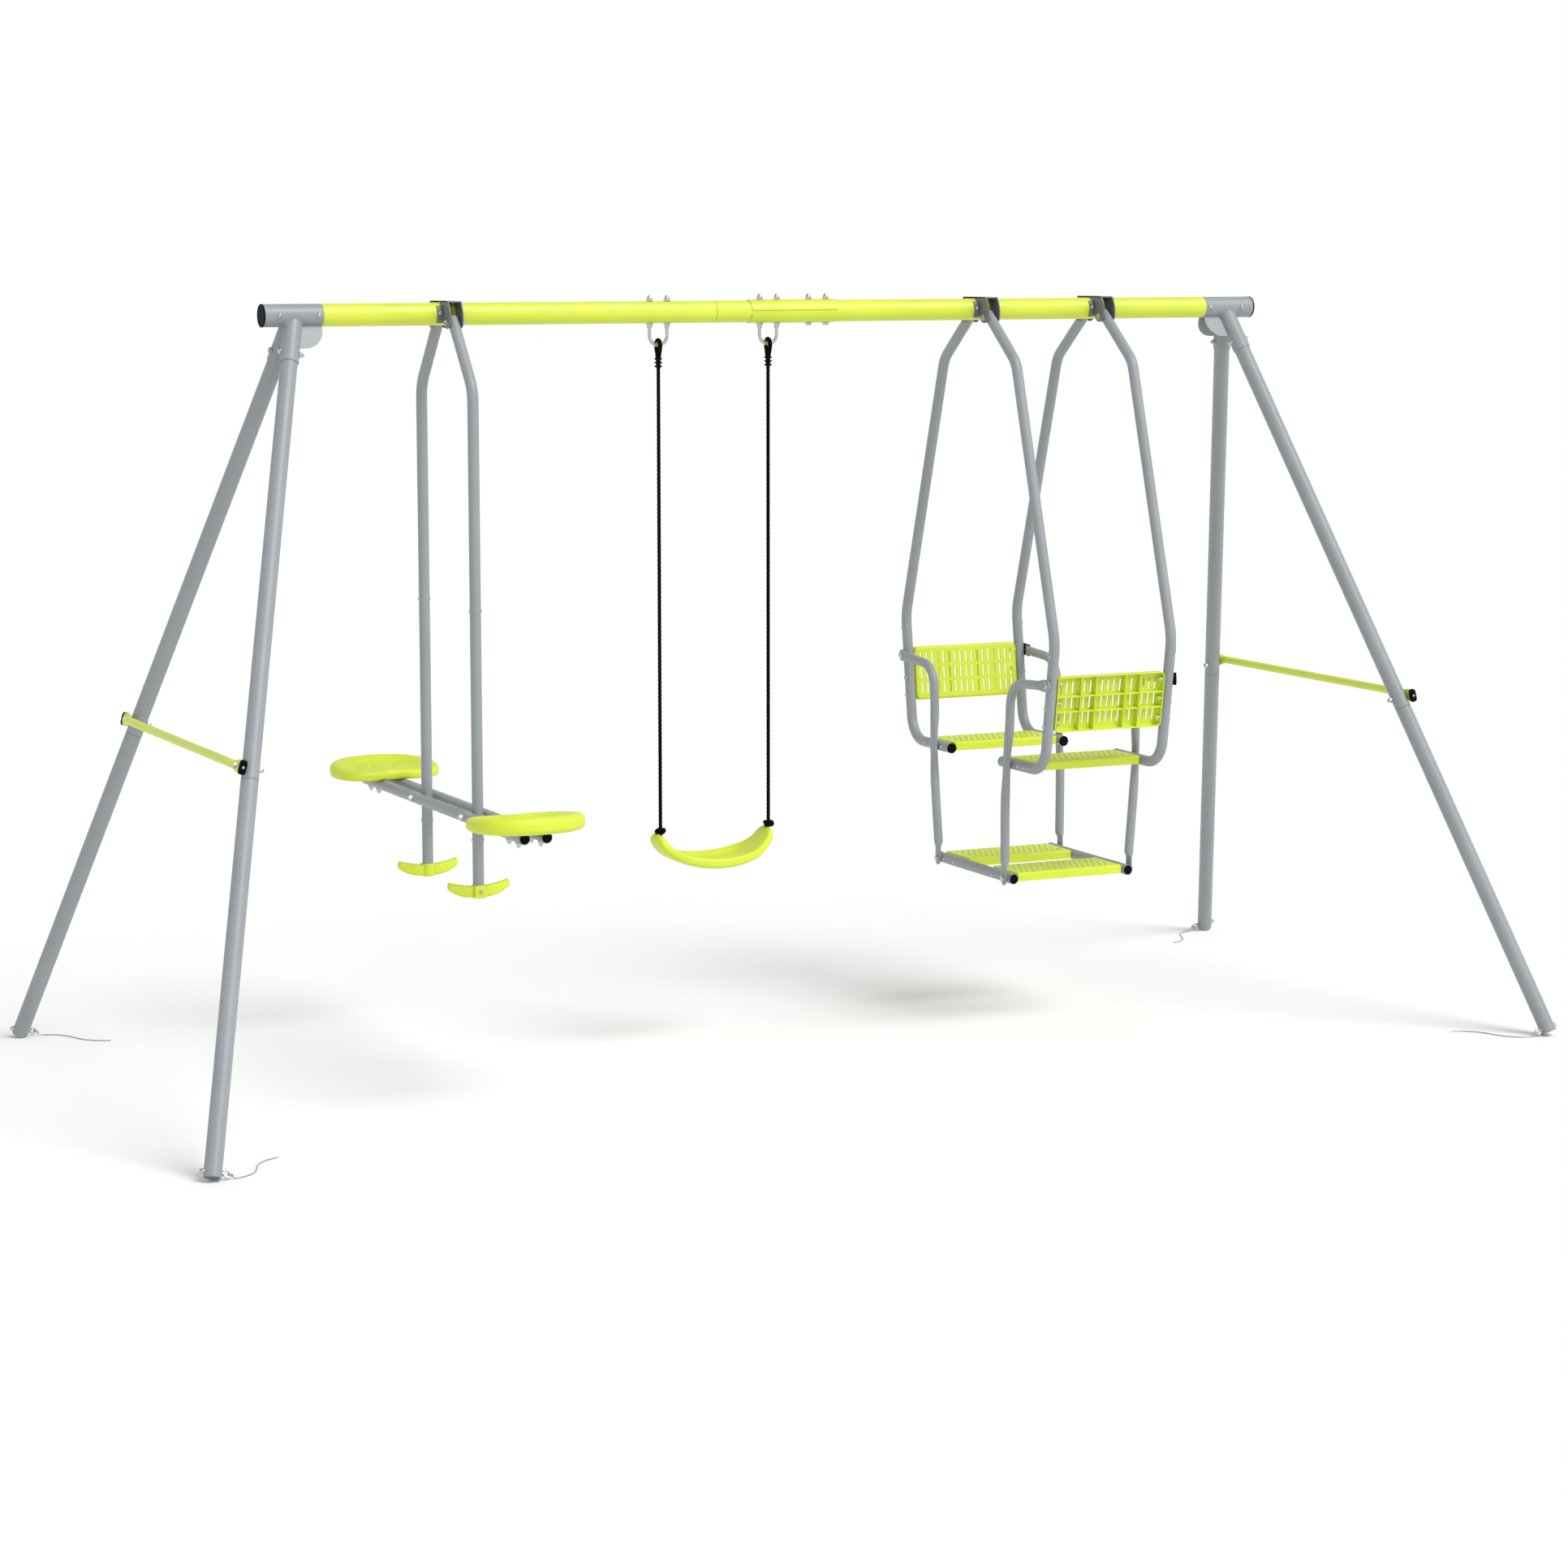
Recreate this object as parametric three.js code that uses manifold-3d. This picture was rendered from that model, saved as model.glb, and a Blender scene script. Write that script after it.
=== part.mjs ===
// A family swing set: a tubular A-frame with a two-seat glider, a rope swing with a
// moulded belt seat, and a face-to-face gondola glider.
// Millimetres. X runs along the top beam, Y is the depth, Z is up, the feet stand on z = 0.

import * as THREE from 'three';
import { mergeGeometries, mergeVertices } from 'three/addons/utils/BufferGeometryUtils.js';
import Module from 'manifold-3d';

const wasm = await Module();
wasm.setup();

// ---------------------------------------------------------------- driving dimensions

const GAP = 0.4; // air between pieces that touch on the real object

const BEAM_RADIUS = 25.4;
const LEG_RADIUS = 19.05;
const TUBE_RADIUS = 12.7;
const BEAM_WALL = 2;
const LEG_WALL = 1.6;
const TUBE_WALL = 1.4;

const BEAM_HEIGHT = 1732;
const BRACKET_INNER_X = 1139;
const BRACKET_OUTER_X = 1273;
const LEG_TOP_X = 1201;
const FOOT_X = 1663.5;
const FOOT_Y = 784;
const FOOT_RISE = 8.9; // the foot's middle stands this high, so its rim touches the ground
const LEG_START = 50; // along the leg, from the beam axis
const SOCKET_END = 116;
const LEG_SEAM = 1090;
const SPIGOT_LENGTH = 80;
const BEAM_SEAM_X = -185;
const COLLAR_X = [-96, 126];
const COLLAR_WALL = 1.7;
const COLLAR_BOLT_X = [60, 105];

const BRACE_RADIUS = 9.5;
const BRACE_HEIGHT = 800;
const BRACE_OFFSET = 31; // brace axis from leg axis, square to the leg
const ANCHOR_BACKSET = 11.5; // eye bolt axis above the foot, along the leg
const CABLE_DIAMETER = 2.5;

const GLIDER_X = -844;
const ROPE_X = [-324, -44];
const GONDOLA_X = 677;
const GONDOLA_HALF_WIDTH = 158.5; // tube planes either side of the middle

const PIVOT_Y = 50;
const PIVOT_Z = BEAM_HEIGHT - 18;
const PIVOT_PIN_RADIUS = 4;
const PIVOT_HOLE_RADIUS = 4.6;
const CHEEK_INNER = 13.6;
const PLATE = 3;

const GLIDER_TUBE_Y = 165;
const GLIDER_RAIL_X = 26;
const GLIDER_RAIL_Z = 613.5;
const GLIDER_RAIL_HALF = 518;
const GLIDER_SEAT_Y = 471;
const SADDLE_RISE = 31.5; // height of the saddle's rim above its base, at the middle
const SADDLE_SLOPE = 0.1; // and how fast it rises towards the outer edge
const SADDLE_EDGE = 8; // bevel round the rim and the base
const SADDLE_DISH = 11;
const FOOTREST_Z = 428;

const U_BOLT_HALF = 22;
const U_BOLT_WIRE = 4;
const SWING_PIVOT_Z = 1656;
const ROPE_RADIUS = 4;
const ROPE_TOP = SWING_PIVOT_Z - 52 - GAP;
const SWING_SEAT_TOP = 515;
const SWING_SEAT_LOW = 428.5;
const SWING_SEAT_RIM = 31; // thickness of the belt's rim in the middle
const SWING_SEAT_FLOOR = 17; // and of its floor, inside the rim
const SWING_SEAT_SHIFT = [-4.5, 6]; // the seat hangs a little off the ropes' middle

const PANEL_LENGTH = 2 * (GONDOLA_HALF_WIDTH - TUBE_RADIUS) - 2 * GAP;
const SEAT_RAIL_Z = 653.7;
const FLOOR_RAIL_Z = 375;
const FLOOR_RAIL_HALF = 192;
const ARM_RADIUS = 11;
const ARM_FOOT_Y = 169.6;
const ARM_FLAT = 4.6;
const ARM_DENT = 13; // thickness of the arm where it crosses the seat rail

const BACKREST_WIDTH = 134;
const BACKREST_LEAN = 0.136;
const BOARD_WIDTH = 125;
const SLOT_COLUMNS = 17;
const SLOT_PITCH = 13.7;
const SLOT_WIDTH = 5;

// Facets round each size of tube.
const BEAM_SIDES = 20;
const LEG_SIDES = 14;
const TUBE_SIDES = 10;
const BORE_SIDES = 6;
const DEGREES_PER_BEND_STEP = 20;

// ---------------------------------------------------------------- materials

function paint(color, roughness = 0.45, metalness = 0.1) {
  return new THREE.MeshStandardMaterial({ color, roughness, metalness });
}

const LIME_PAINT = paint(0xd9ea3f);
const GREY_PAINT = paint(0x9aa0a3, 0.5, 0.3);
const LIME_PLASTIC = paint(0xd6e83a, 0.55, 0);
const BLACK_PLASTIC = paint(0x141413, 0.6, 0);
const ZINC = paint(0xc4c6c5, 0.3, 0.9);
const ROPE = paint(0x0b0b0b, 0.9, 0);

// ---------------------------------------------------------------- solids and joins

// Merges shared vertices, and turns the faces outwards when they point in.
function closed(geometry) {
  const plain = geometry.clone();
  plain.deleteAttribute('normal');
  plain.deleteAttribute('uv');
  const merged = mergeVertices(plain, 1e-4);
  const p = merged.getAttribute('position');
  const index = merged.index.array;
  const [a, b, c] = [new THREE.Vector3(), new THREE.Vector3(), new THREE.Vector3()];
  const faces = [];
  let volume = 0;
  for (let i = 0; i < index.length; i += 3) {
    const [ia, ib, ic] = [index[i], index[i + 1], index[i + 2]];
    if (ia === ib || ib === ic || ia === ic) continue;
    faces.push(ia, ib, ic);
    a.fromBufferAttribute(p, ia);
    b.fromBufferAttribute(p, ib);
    c.fromBufferAttribute(p, ic);
    volume += a.dot(b.cross(c));
  }
  if (volume < 0) faces.reverse();
  merged.setIndex(faces);
  return merged;
}

function toSolid(geometry) {
  const g = closed(geometry);
  return new wasm.Manifold(new wasm.Mesh({
    numProp: 3,
    vertProperties: new Float32Array(g.getAttribute('position').array),
    triVerts: new Uint32Array(g.index.array),
  }));
}

function toGeometry(solid) {
  const mesh = solid.getMesh();
  const g = new THREE.BufferGeometry();
  g.setAttribute('position', new THREE.BufferAttribute(new Float32Array(mesh.vertProperties), 3));
  g.setIndex(Array.from(mesh.triVerts));
  return g;
}

function join(...geometries) {
  return toGeometry(geometries.map(toSolid).reduce((sum, solid) => sum.add(solid)));
}

function cut(geometry, ...tools) {
  const whole = toSolid(geometry);
  return toGeometry(tools.map(toSolid).reduce((rest, tool) => rest.subtract(tool), whole));
}

function common(geometry, other) {
  return toGeometry(toSolid(geometry).intersect(toSolid(other)));
}

function moved(geometry, x, y, z) {
  return geometry.clone().translate(x, y, z);
}

// A turned body on the Z axis. The profile lists [radius, z] and closes on itself or the axis.
function turned(profile, sides) {
  const points = profile.map(([r, z]) => new THREE.Vector2(r, z));
  return closed(new THREE.LatheGeometry(points, sides).rotateX(Math.PI / 2));
}

function rod(radius, z0, z1, sides = 16) {
  return turned([[0, z0], [radius, z0], [radius, z1], [0, z1]], sides);
}

function pipe(outer, inner, z0, z1, sides = LEG_SIDES) {
  return turned([[inner, z0], [outer, z0], [outer, z1], [inner, z1], [inner, z0]], sides);
}

function alongX(geometry) {
  return geometry.clone().rotateY(Math.PI / 2);
}

function alongY(geometry) {
  return geometry.clone().rotateX(-Math.PI / 2);
}

function block(x0, x1, y0, y1, z0, z1) {
  const box = new THREE.BoxGeometry(x1 - x0, y1 - y0, z1 - z0);
  return moved(box, (x0 + x1) / 2, (y0 + y1) / 2, (z0 + z1) / 2);
}

function roundedRectangle(x0, x1, y0, y1, radius) {
  const shape = new THREE.Shape();
  shape.absarc(x1 - radius, y0 + radius, radius, -Math.PI / 2, 0);
  shape.absarc(x1 - radius, y1 - radius, radius, 0, Math.PI / 2);
  shape.absarc(x0 + radius, y1 - radius, radius, Math.PI / 2, Math.PI);
  shape.absarc(x0 + radius, y0 + radius, radius, Math.PI, 1.5 * Math.PI);
  return new THREE.Shape(shape.getPoints(1));
}

// A flat shape made into a plate from z0 to z1.
function plate(shape, z0, z1, curveSegments = 6) {
  const g = new THREE.ExtrudeGeometry(shape, { depth: z1 - z0, bevelEnabled: false, curveSegments });
  return closed(g.translate(0, 0, z0));
}

// A plate whose shape is drawn in Y and Z, and which is thick along X.
function plateAcrossX(shape, x0, x1, curveSegments) {
  const turn = new THREE.Matrix4().makeBasis(
    new THREE.Vector3(0, 1, 0), new THREE.Vector3(0, 0, 1), new THREE.Vector3(1, 0, 0));
  return plate(shape, x0, x1, curveSegments).applyMatrix4(turn);
}

// A plate whose shape is drawn in X and Z, and which is thick along Y.
function plateAcrossY(shape, y0, y1, curveSegments) {
  return plate(shape, -y1, -y0, curveSegments).rotateX(Math.PI / 2);
}

// A route of straight runs with rounded corners, sampled only where it bends.
class BentRoute extends THREE.Curve {
  constructor(corners, radii) {
    super();
    this.stations = [];
    const points = corners.map((c) => new THREE.Vector3(...c));
    this.addStation(points[0], points[1].clone().sub(points[0]).normalize());
    for (let i = 1; i < points.length - 1; i++) {
      this.addBend(points[i - 1], points[i], points[i + 1], radii[i - 1]);
    }
    const last = points.length - 1;
    this.addStation(points[last], points[last].clone().sub(points[last - 1]).normalize());
  }

  addStation(point, tangent) {
    this.stations.push({ point, tangent });
  }

  addBend(previous, corner, next, radius) {
    const before = previous.clone().sub(corner).normalize();
    const after = next.clone().sub(corner).normalize();
    const half = before.angleTo(after) / 2;
    const bend = Math.PI - 2 * half;
    const start = corner.clone().addScaledVector(before, radius / Math.tan(half));
    const inwards = before.clone().add(after).normalize();
    const centre = corner.clone().addScaledVector(inwards, radius / Math.sin(half));
    const axis = after.clone().cross(before).normalize();
    const steps = Math.max(1, Math.round(THREE.MathUtils.radToDeg(bend) / DEGREES_PER_BEND_STEP));
    for (let k = 0; k <= steps; k++) {
      const angle = (bend * k) / steps;
      const spoke = start.clone().sub(centre).applyAxisAngle(axis, angle);
      this.addStation(spoke.add(centre), before.clone().negate().applyAxisAngle(axis, angle));
    }
  }

  station(t) {
    return this.stations[Math.round(t * (this.stations.length - 1))];
  }

  getPoint(t) {
    return this.station(t).point.clone();
  }

  getPointAt(t) {
    return this.getPoint(t);
  }

  getTangentAt(t) {
    return this.station(t).tangent.clone();
  }
}

function ring(radius, sides) {
  return Array.from({ length: sides }, (_, i) => {
    const angle = (2 * Math.PI * i) / sides;
    return new THREE.Vector2(radius * Math.cos(angle), radius * Math.sin(angle));
  });
}

function sweep(shape, route) {
  const steps = route.stations.length - 1;
  return closed(new THREE.ExtrudeGeometry(shape, { steps, extrudePath: route, bevelEnabled: false }));
}

function bentPipe(route, outer = TUBE_RADIUS, inner = TUBE_RADIUS - TUBE_WALL) {
  const shape = new THREE.Shape(ring(outer, TUBE_SIDES));
  shape.holes.push(new THREE.Path(ring(inner, BORE_SIDES)));
  return sweep(shape, route);
}

// A solid skinned over oval sections. Each section lies square to `along`, is `thick` in the
// direction nearest to X and `wide` in the other.
function loft(sections, sides) {
  const vertices = [];
  const faces = [];
  for (const { at, along, thick, wide } of sections) {
    const forward = along.clone().normalize();
    const across = new THREE.Vector3(1, 0, 0).addScaledVector(forward, -forward.x).normalize();
    const edge = new THREE.Vector3().crossVectors(forward, across);
    for (const point of ring(0.5, sides)) {
      const corner = at.clone().addScaledVector(across, point.x * thick);
      vertices.push(...corner.addScaledVector(edge, point.y * wide).toArray());
    }
  }
  const at = (section, side) => section * sides + (side % sides);
  for (let i = 0; i < sections.length - 1; i++) {
    for (let k = 0; k < sides; k++) {
      faces.push(at(i, k), at(i, k + 1), at(i + 1, k + 1));
      faces.push(at(i, k), at(i + 1, k + 1), at(i + 1, k));
    }
  }
  const last = sections.length - 1;
  for (let k = 1; k < sides - 1; k++) {
    faces.push(at(0, 0), at(0, k + 1), at(0, k), at(last, 0), at(last, k), at(last, k + 1));
  }
  const g = new THREE.BufferGeometry();
  g.setAttribute('position', new THREE.Float32BufferAttribute(vertices, 3));
  g.setIndex(faces);
  return closed(g);
}

// ---------------------------------------------------------------- the scene graph

const swingSet = new THREE.Group();

function add(parent, name, geometry, material) {
  geometry.computeVertexNormals();
  const mesh = new THREE.Mesh(geometry, material);
  mesh.name = name;
  parent.add(mesh);
  return mesh;
}

function group(parent, x = 0, y = 0, z = 0, turnZ = 0) {
  const g = new THREE.Group();
  g.position.set(x, y, z);
  g.rotation.z = turnZ;
  parent.add(g);
  return g;
}

// ---------------------------------------------------------------- top beam

// The beam is two tubes. A reduced spigot on the right one enters the left one at the seam.
function beamTube(x0, x1) {
  return alongX(pipe(BEAM_RADIUS, BEAM_RADIUS - BEAM_WALL, x0, x1, BEAM_SIDES));
}

function rightBeamTube() {
  const bore = BEAM_RADIUS - 2 * BEAM_WALL - GAP;
  const spigot = BEAM_RADIUS - BEAM_WALL - GAP;
  const profile = [
    [bore, BEAM_SEAM_X - 90], [spigot, BEAM_SEAM_X - 90], [spigot, BEAM_SEAM_X + GAP],
    [BEAM_RADIUS, BEAM_SEAM_X + GAP], [BEAM_RADIUS, BRACKET_INNER_X - GAP],
    [BEAM_RADIUS - BEAM_WALL, BRACKET_INNER_X - GAP], [BEAM_RADIUS - BEAM_WALL, BEAM_SEAM_X + 8],
    [bore, BEAM_SEAM_X + 8], [bore, BEAM_SEAM_X - 90],
  ];
  return alongX(turned(profile, BEAM_SIDES));
}

function boltHole(x) {
  return moved(rod(U_BOLT_WIRE + GAP, -40, 40, 8), x, 0, 0);
}

function uBoltHoles(x) {
  return [boltHole(x - U_BOLT_HALF), boltHole(x + U_BOLT_HALF)];
}

// A C-shaped collar that stiffens the beam beside the rope swing. Two bolts hold it; they
// pass down through the beam, with a domed nut on top and a plain head underneath.
function beamCollar() {
  const inner = BEAM_RADIUS + GAP;
  const outer = inner + COLLAR_WALL;
  const ringAndSlit = cut(
    alongX(pipe(outer, inner, COLLAR_X[0], COLLAR_X[1], BEAM_SIDES)),
    block(COLLAR_X[0] - 5, COLLAR_X[1] + 5, -40, 0, -5.5, 3.5),
    ...uBoltHoles(ROPE_X[1]),
  );
  const bolts = COLLAR_BOLT_X.flatMap((x) => [
    moved(rod(U_BOLT_WIRE, -outer - 6, outer + 4, 8), x, 0, 0),
    moved(rod(6.5, -outer - 6.5, -outer + 1, 6), x, 0, 0),
    moved(domedNut(outer - 1), x, 0, 0),
  ]);
  return join(ringAndSlit, ...bolts);
}

function domedNut(foot) {
  return turned([[0, foot], [6.5, foot], [6.5, foot + 7], [4.4, foot + 11], [0, foot + 12.5]], 6);
}

function buildBeam() {
  const beam = group(swingSet, 0, 0, BEAM_HEIGHT);
  const left = beamTube(-BRACKET_INNER_X + GAP, BEAM_SEAM_X);
  const rightHoles = [...uBoltHoles(ROPE_X[1]), ...COLLAR_BOLT_X.map(boltHole)];
  add(beam, 'beam_left_tube', cut(left, ...uBoltHoles(ROPE_X[0])), LIME_PAINT);
  add(beam, 'beam_right_tube', cut(rightBeamTube(), ...rightHoles), LIME_PAINT);
  add(beam, 'beam_collar', beamCollar(), LIME_PAINT);
}

// ---------------------------------------------------------------- A-frame ends

// Direction down a leg, in the frame of the right-hand end. side is -1 at the front.
function legDirection(side) {
  return new THREE.Vector3(FOOT_X - LEG_TOP_X, side * FOOT_Y, FOOT_RISE - BEAM_HEIGHT).normalize();
}

const LEG_LENGTH = new THREE.Vector3(FOOT_X - LEG_TOP_X, FOOT_Y, FOOT_RISE - BEAM_HEIGHT).length();

// Axes of a leg: Z runs down the leg, Y is square to the leg and to X.
function legMatrix(side) {
  const down = legDirection(side);
  const across = new THREE.Vector3().crossVectors(down, new THREE.Vector3(1, 0, 0)).normalize();
  const outward = new THREE.Vector3().crossVectors(across, down);
  return new THREE.Matrix4().makeBasis(outward, across, down);
}

// The sleeve continues the beam and spigots into it. Two sockets, each with a web, take the legs.
function legBracket() {
  const bore = BEAM_RADIUS - BEAM_WALL;
  const spigotBore = bore - BEAM_WALL - GAP;
  const [x0, x1] = [BRACKET_INNER_X - LEG_TOP_X, BRACKET_OUTER_X - LEG_TOP_X];
  const pieces = [
    alongX(rod(BEAM_RADIUS, x0, x1, BEAM_SIDES)),
    alongX(rod(bore - GAP, x0 - SPIGOT_LENGTH, x0 + 5, BEAM_SIDES)),
  ];
  const bores = [
    alongX(rod(bore, x0 + 2, x1 + 1, BEAM_SIDES)),
    alongX(rod(spigotBore, x0 - SPIGOT_LENGTH - 10, x0 + 10, BEAM_SIDES)),
  ];
  for (const side of [-1, 1]) {
    const place = legMatrix(side);
    pieces.push(rod(LEG_RADIUS + 2.2, 10, SOCKET_END, LEG_SIDES).applyMatrix4(place));
    bores.push(rod(LEG_RADIUS + 0.5, LEG_START - 2, SOCKET_END + 10, LEG_SIDES).applyMatrix4(place));
    pieces.push(gusset(side));
  }
  return cut(join(...pieces), ...bores);
}

// A rounded web between the sleeve and one socket, in the plane of the beam and the leg.
function gusset(side) {
  const shape = new THREE.Shape();
  shape.moveTo(-10, 15);
  shape.lineTo(61, 15);
  shape.lineTo(61, 34);
  shape.bezierCurveTo(61, 58, 42, 78, 18, 78);
  shape.lineTo(-12, 78);
  const web = plate(shape, -PLATE / 2, PLATE / 2);
  const inward = new THREE.Vector3(-1, 0, 0);
  const down = legDirection(side);
  down.x = 0;
  down.normalize();
  const across = new THREE.Vector3().crossVectors(inward, down);
  return web.applyMatrix4(new THREE.Matrix4().makeBasis(inward, down, across));
}

function beamCap() {
  const plug = BEAM_RADIUS - BEAM_WALL - GAP;
  const profile = [
    [0, -14], [plug, -14], [plug, GAP], [BEAM_RADIUS, GAP],
    [BEAM_RADIUS, 2.2], [BEAM_RADIUS - 0.8, 3], [0, 3],
  ];
  return alongX(turned(profile, BEAM_SIDES));
}

function upperLeg() {
  return pipe(LEG_RADIUS, LEG_RADIUS - LEG_WALL, LEG_START, LEG_SEAM);
}

// The lower leg has a reduced spigot that enters the upper leg, and its foot is plugged.
function lowerLeg() {
  const bore = LEG_RADIUS - LEG_WALL;
  const spigot = bore - GAP;
  const profile = [
    [0, LEG_LENGTH], [LEG_RADIUS, LEG_LENGTH], [LEG_RADIUS, LEG_SEAM + GAP], [spigot, LEG_SEAM + GAP],
    [spigot, LEG_SEAM - SPIGOT_LENGTH], [spigot - 1.6, LEG_SEAM - SPIGOT_LENGTH],
    [spigot - 1.6, LEG_LENGTH - 24], [0, LEG_LENGTH - 24],
  ];
  const hole = moved(alongX(rod(3.4, -30, 30, 8)), 0, 0, LEG_LENGTH - ANCHOR_BACKSET);
  return cut(turned(profile, LEG_SIDES), hole);
}

// The eye bolt crosses the leg square to it: ring on the inner side, domed nut on the outer side.
function anchorEyeBolt() {
  const shank = rod(3, -24, LEG_RADIUS + 4, 6);
  const eye = new THREE.TorusGeometry(6.7, 2.4, 6, 10).rotateX(Math.PI / 2).translate(0, 0, -29);
  const nutFoot = LEG_RADIUS + GAP;
  const nut = turned([
    [0, nutFoot], [5.6, nutFoot], [5.6, nutFoot + 5], [3.8, nutFoot + 8.6], [0, nutFoot + 10],
  ], 6);
  return alongX(join(shank, eye, nut));
}

// The thin ground-anchor cable, from under the eye down to the ground and inwards along it.
function anchorCable(side) {
  const radius = CABLE_DIAMETER / 2;
  const points = cableRoute(side).map((p) => new THREE.Vector3(...p));
  const route = new THREE.CatmullRomCurve3(points, false, 'centripetal');
  const shape = new THREE.Shape(ring(radius, 8));
  return closed(new THREE.ExtrudeGeometry(shape, { steps: 28, extrudePath: route, bevelEnabled: false }));
}

// Points of the cable in the frame of the right-hand end, chosen so that it lies in a lazy curve.
function cableRoute(side) {
  const lie = CABLE_DIAMETER / 2 + 0.2;
  const reach = [
    [-10.8, 0, 10.6], [-12.4, 0.3, 6.6], [-16, 1.1, 3.1], [-22, 2.6, lie], [-33, 6.2, lie],
    [-45, 11.8, lie], [-56, 19.4, lie], [-65.6, 29, lie], [-73.4, 40.2, lie], [-79.6, 52.6, lie],
    [-84.6, 65.6, lie], [-89.4, 78.6, lie], [-95, 91.2, lie], [-102.2, 102.8, lie],
    [-111.2, 113.2, lie], [-121.8, 122, lie], [-133.6, 129, lie], [-146.4, 134.4, lie], [-153.4, 136.9, lie],
  ];
  const eye = anchorEyeCentre(side);
  return reach.map(([x, y, z]) => [eye.x - LEG_TOP_X + x, eye.y - side * y, z - BEAM_HEIGHT]);
}

function anchorEyeCentre(side) {
  const place = legMatrix(side);
  const centre = new THREE.Vector3(-29, 0, LEG_LENGTH - ANCHOR_BACKSET).applyMatrix4(place);
  return centre.add(new THREE.Vector3(LEG_TOP_X, 0, BEAM_HEIGHT));
}

// The brace is a small tube with ends pressed to tall ovals, bolted to the outside of both legs.
// Its ends lie against the legs, so their middle is nearer to the legs than the tube's.
function brace() {
  const half = 452;
  const press = 26;
  const ovalLength = 18;
  const [thick, wide] = [13, 30];
  const shift = LEG_RADIUS + GAP + thick / 2 - BRACE_OFFSET;
  const section = (y, x, t, w) => ({
    at: new THREE.Vector3(x, y, 0), along: new THREE.Vector3(0, 1, 0), thick: t, wide: w,
  });
  const round = (y) => section(y, 0, 2 * BRACE_RADIUS, 2 * BRACE_RADIUS);
  const oval = (y) => section(y, shift, thick, wide);
  const roundHalf = half - ovalLength - press;
  return loft([oval(-half), oval(ovalLength - half), round(-roundHalf), round(roundHalf),
    oval(half - ovalLength), oval(half)], TUBE_SIDES);
}

function buildEnd(name, turnZ) {
  const top = new THREE.Vector3(LEG_TOP_X, 0, 0).applyAxisAngle(new THREE.Vector3(0, 0, 1), turnZ);
  const end = group(swingSet, top.x, top.y, BEAM_HEIGHT, turnZ);
  add(end, `leg_bracket_${name}`, legBracket(), GREY_PAINT);
  const cap = add(end, `beam_cap_${name}`, beamCap(), BLACK_PLASTIC);
  cap.position.x = BRACKET_OUTER_X - LEG_TOP_X;
  for (const side of [-1, 1]) {
    const where = side * Math.cos(turnZ) < 0 ? 'front' : 'back';
    const leg = group(end);
    leg.applyMatrix4(legMatrix(side));
    add(leg, `upper_leg_${name}_${where}`, upperLeg(), GREY_PAINT);
    add(leg, `lower_leg_${name}_${where}`, lowerLeg(), GREY_PAINT);
    const bolt = add(leg, `anchor_bolt_${name}_${where}`, anchorEyeBolt(), ZINC);
    bolt.position.z = LEG_LENGTH - ANCHOR_BACKSET;
    add(end, `anchor_cable_${name}_${where}`, anchorCable(side), ZINC);
  }
  const slope = Math.atan2(FOOT_X - LEG_TOP_X, BEAM_HEIGHT - FOOT_RISE);
  const drop = BEAM_HEIGHT - BRACE_HEIGHT + BRACE_OFFSET * Math.sin(slope);
  const tie = add(end, `brace_${name}`, brace(), LIME_PAINT);
  tie.rotation.y = -slope;
  tie.position.x = drop * Math.tan(slope) + BRACE_OFFSET * Math.cos(slope);
  tie.position.z = BRACE_HEIGHT - BEAM_HEIGHT;
}

// ---------------------------------------------------------------- hanger brackets

function cheekShape() {
  const shape = new THREE.Shape();
  shape.moveTo(-56, 29.5);
  shape.bezierCurveTo(-66, 20, -72, 4, -71, -14);
  shape.bezierCurveTo(-70, -26, -61, -32, -50, -32);
  shape.bezierCurveTo(-38, -32, -30, -26, -29, -14);
  shape.absarc(0, 0, 27, Math.PI, 0, true);
  shape.lineTo(29, -14);
  shape.bezierCurveTo(30, -26, 38, -32, 50, -32);
  shape.bezierCurveTo(61, -32, 70, -26, 71, -14);
  shape.bezierCurveTo(72, 4, 66, 20, 56, 29.5);
  return shape;
}

// A curved ear that hugs the beam, for the screw that stops the bracket from sliding.
function hangerEar(x0, x1, towards) {
  const [inner, outer] = [BEAM_RADIUS + GAP, BEAM_RADIUS + GAP + PLATE];
  const shape = new THREE.Shape();
  const middle = towards < 0 ? Math.PI : 0;
  shape.absarc(0, 0, outer, middle - 0.75, middle + 0.75, false);
  shape.absarc(0, 0, inner, middle + 0.75, middle - 0.75, true);
  return plateAcrossX(shape, x0, x1, 3);
}

function hangerBracket() {
  const outer = CHEEK_INNER + PLATE;
  const cheeks = [-outer, CHEEK_INNER].map((x) => plateAcrossX(cheekShape(), x, x + PLATE, 3));
  const roof = block(-outer, outer, -54, 54, 26.3, 29.5);
  const ears = [
    hangerEar(-outer - 13, -CHEEK_INNER - 0.5, -1),
    hangerEar(CHEEK_INNER + 0.5, outer + 13, 1),
  ];
  const pins = [-1, 1].flatMap((side) => [
    rod(PIVOT_PIN_RADIUS, -outer - 1, outer + 1, 8),
    rod(6.5, -outer - 4.5, -outer + 0.5, 8),
    rod(6.5, outer - 0.5, outer + 6, 6),
  ].map((piece) => moved(alongX(piece), 0, side * PIVOT_Y, PIVOT_Z - BEAM_HEIGHT)));
  return join(...cheeks, roof, ...ears, ...pins);
}

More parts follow.
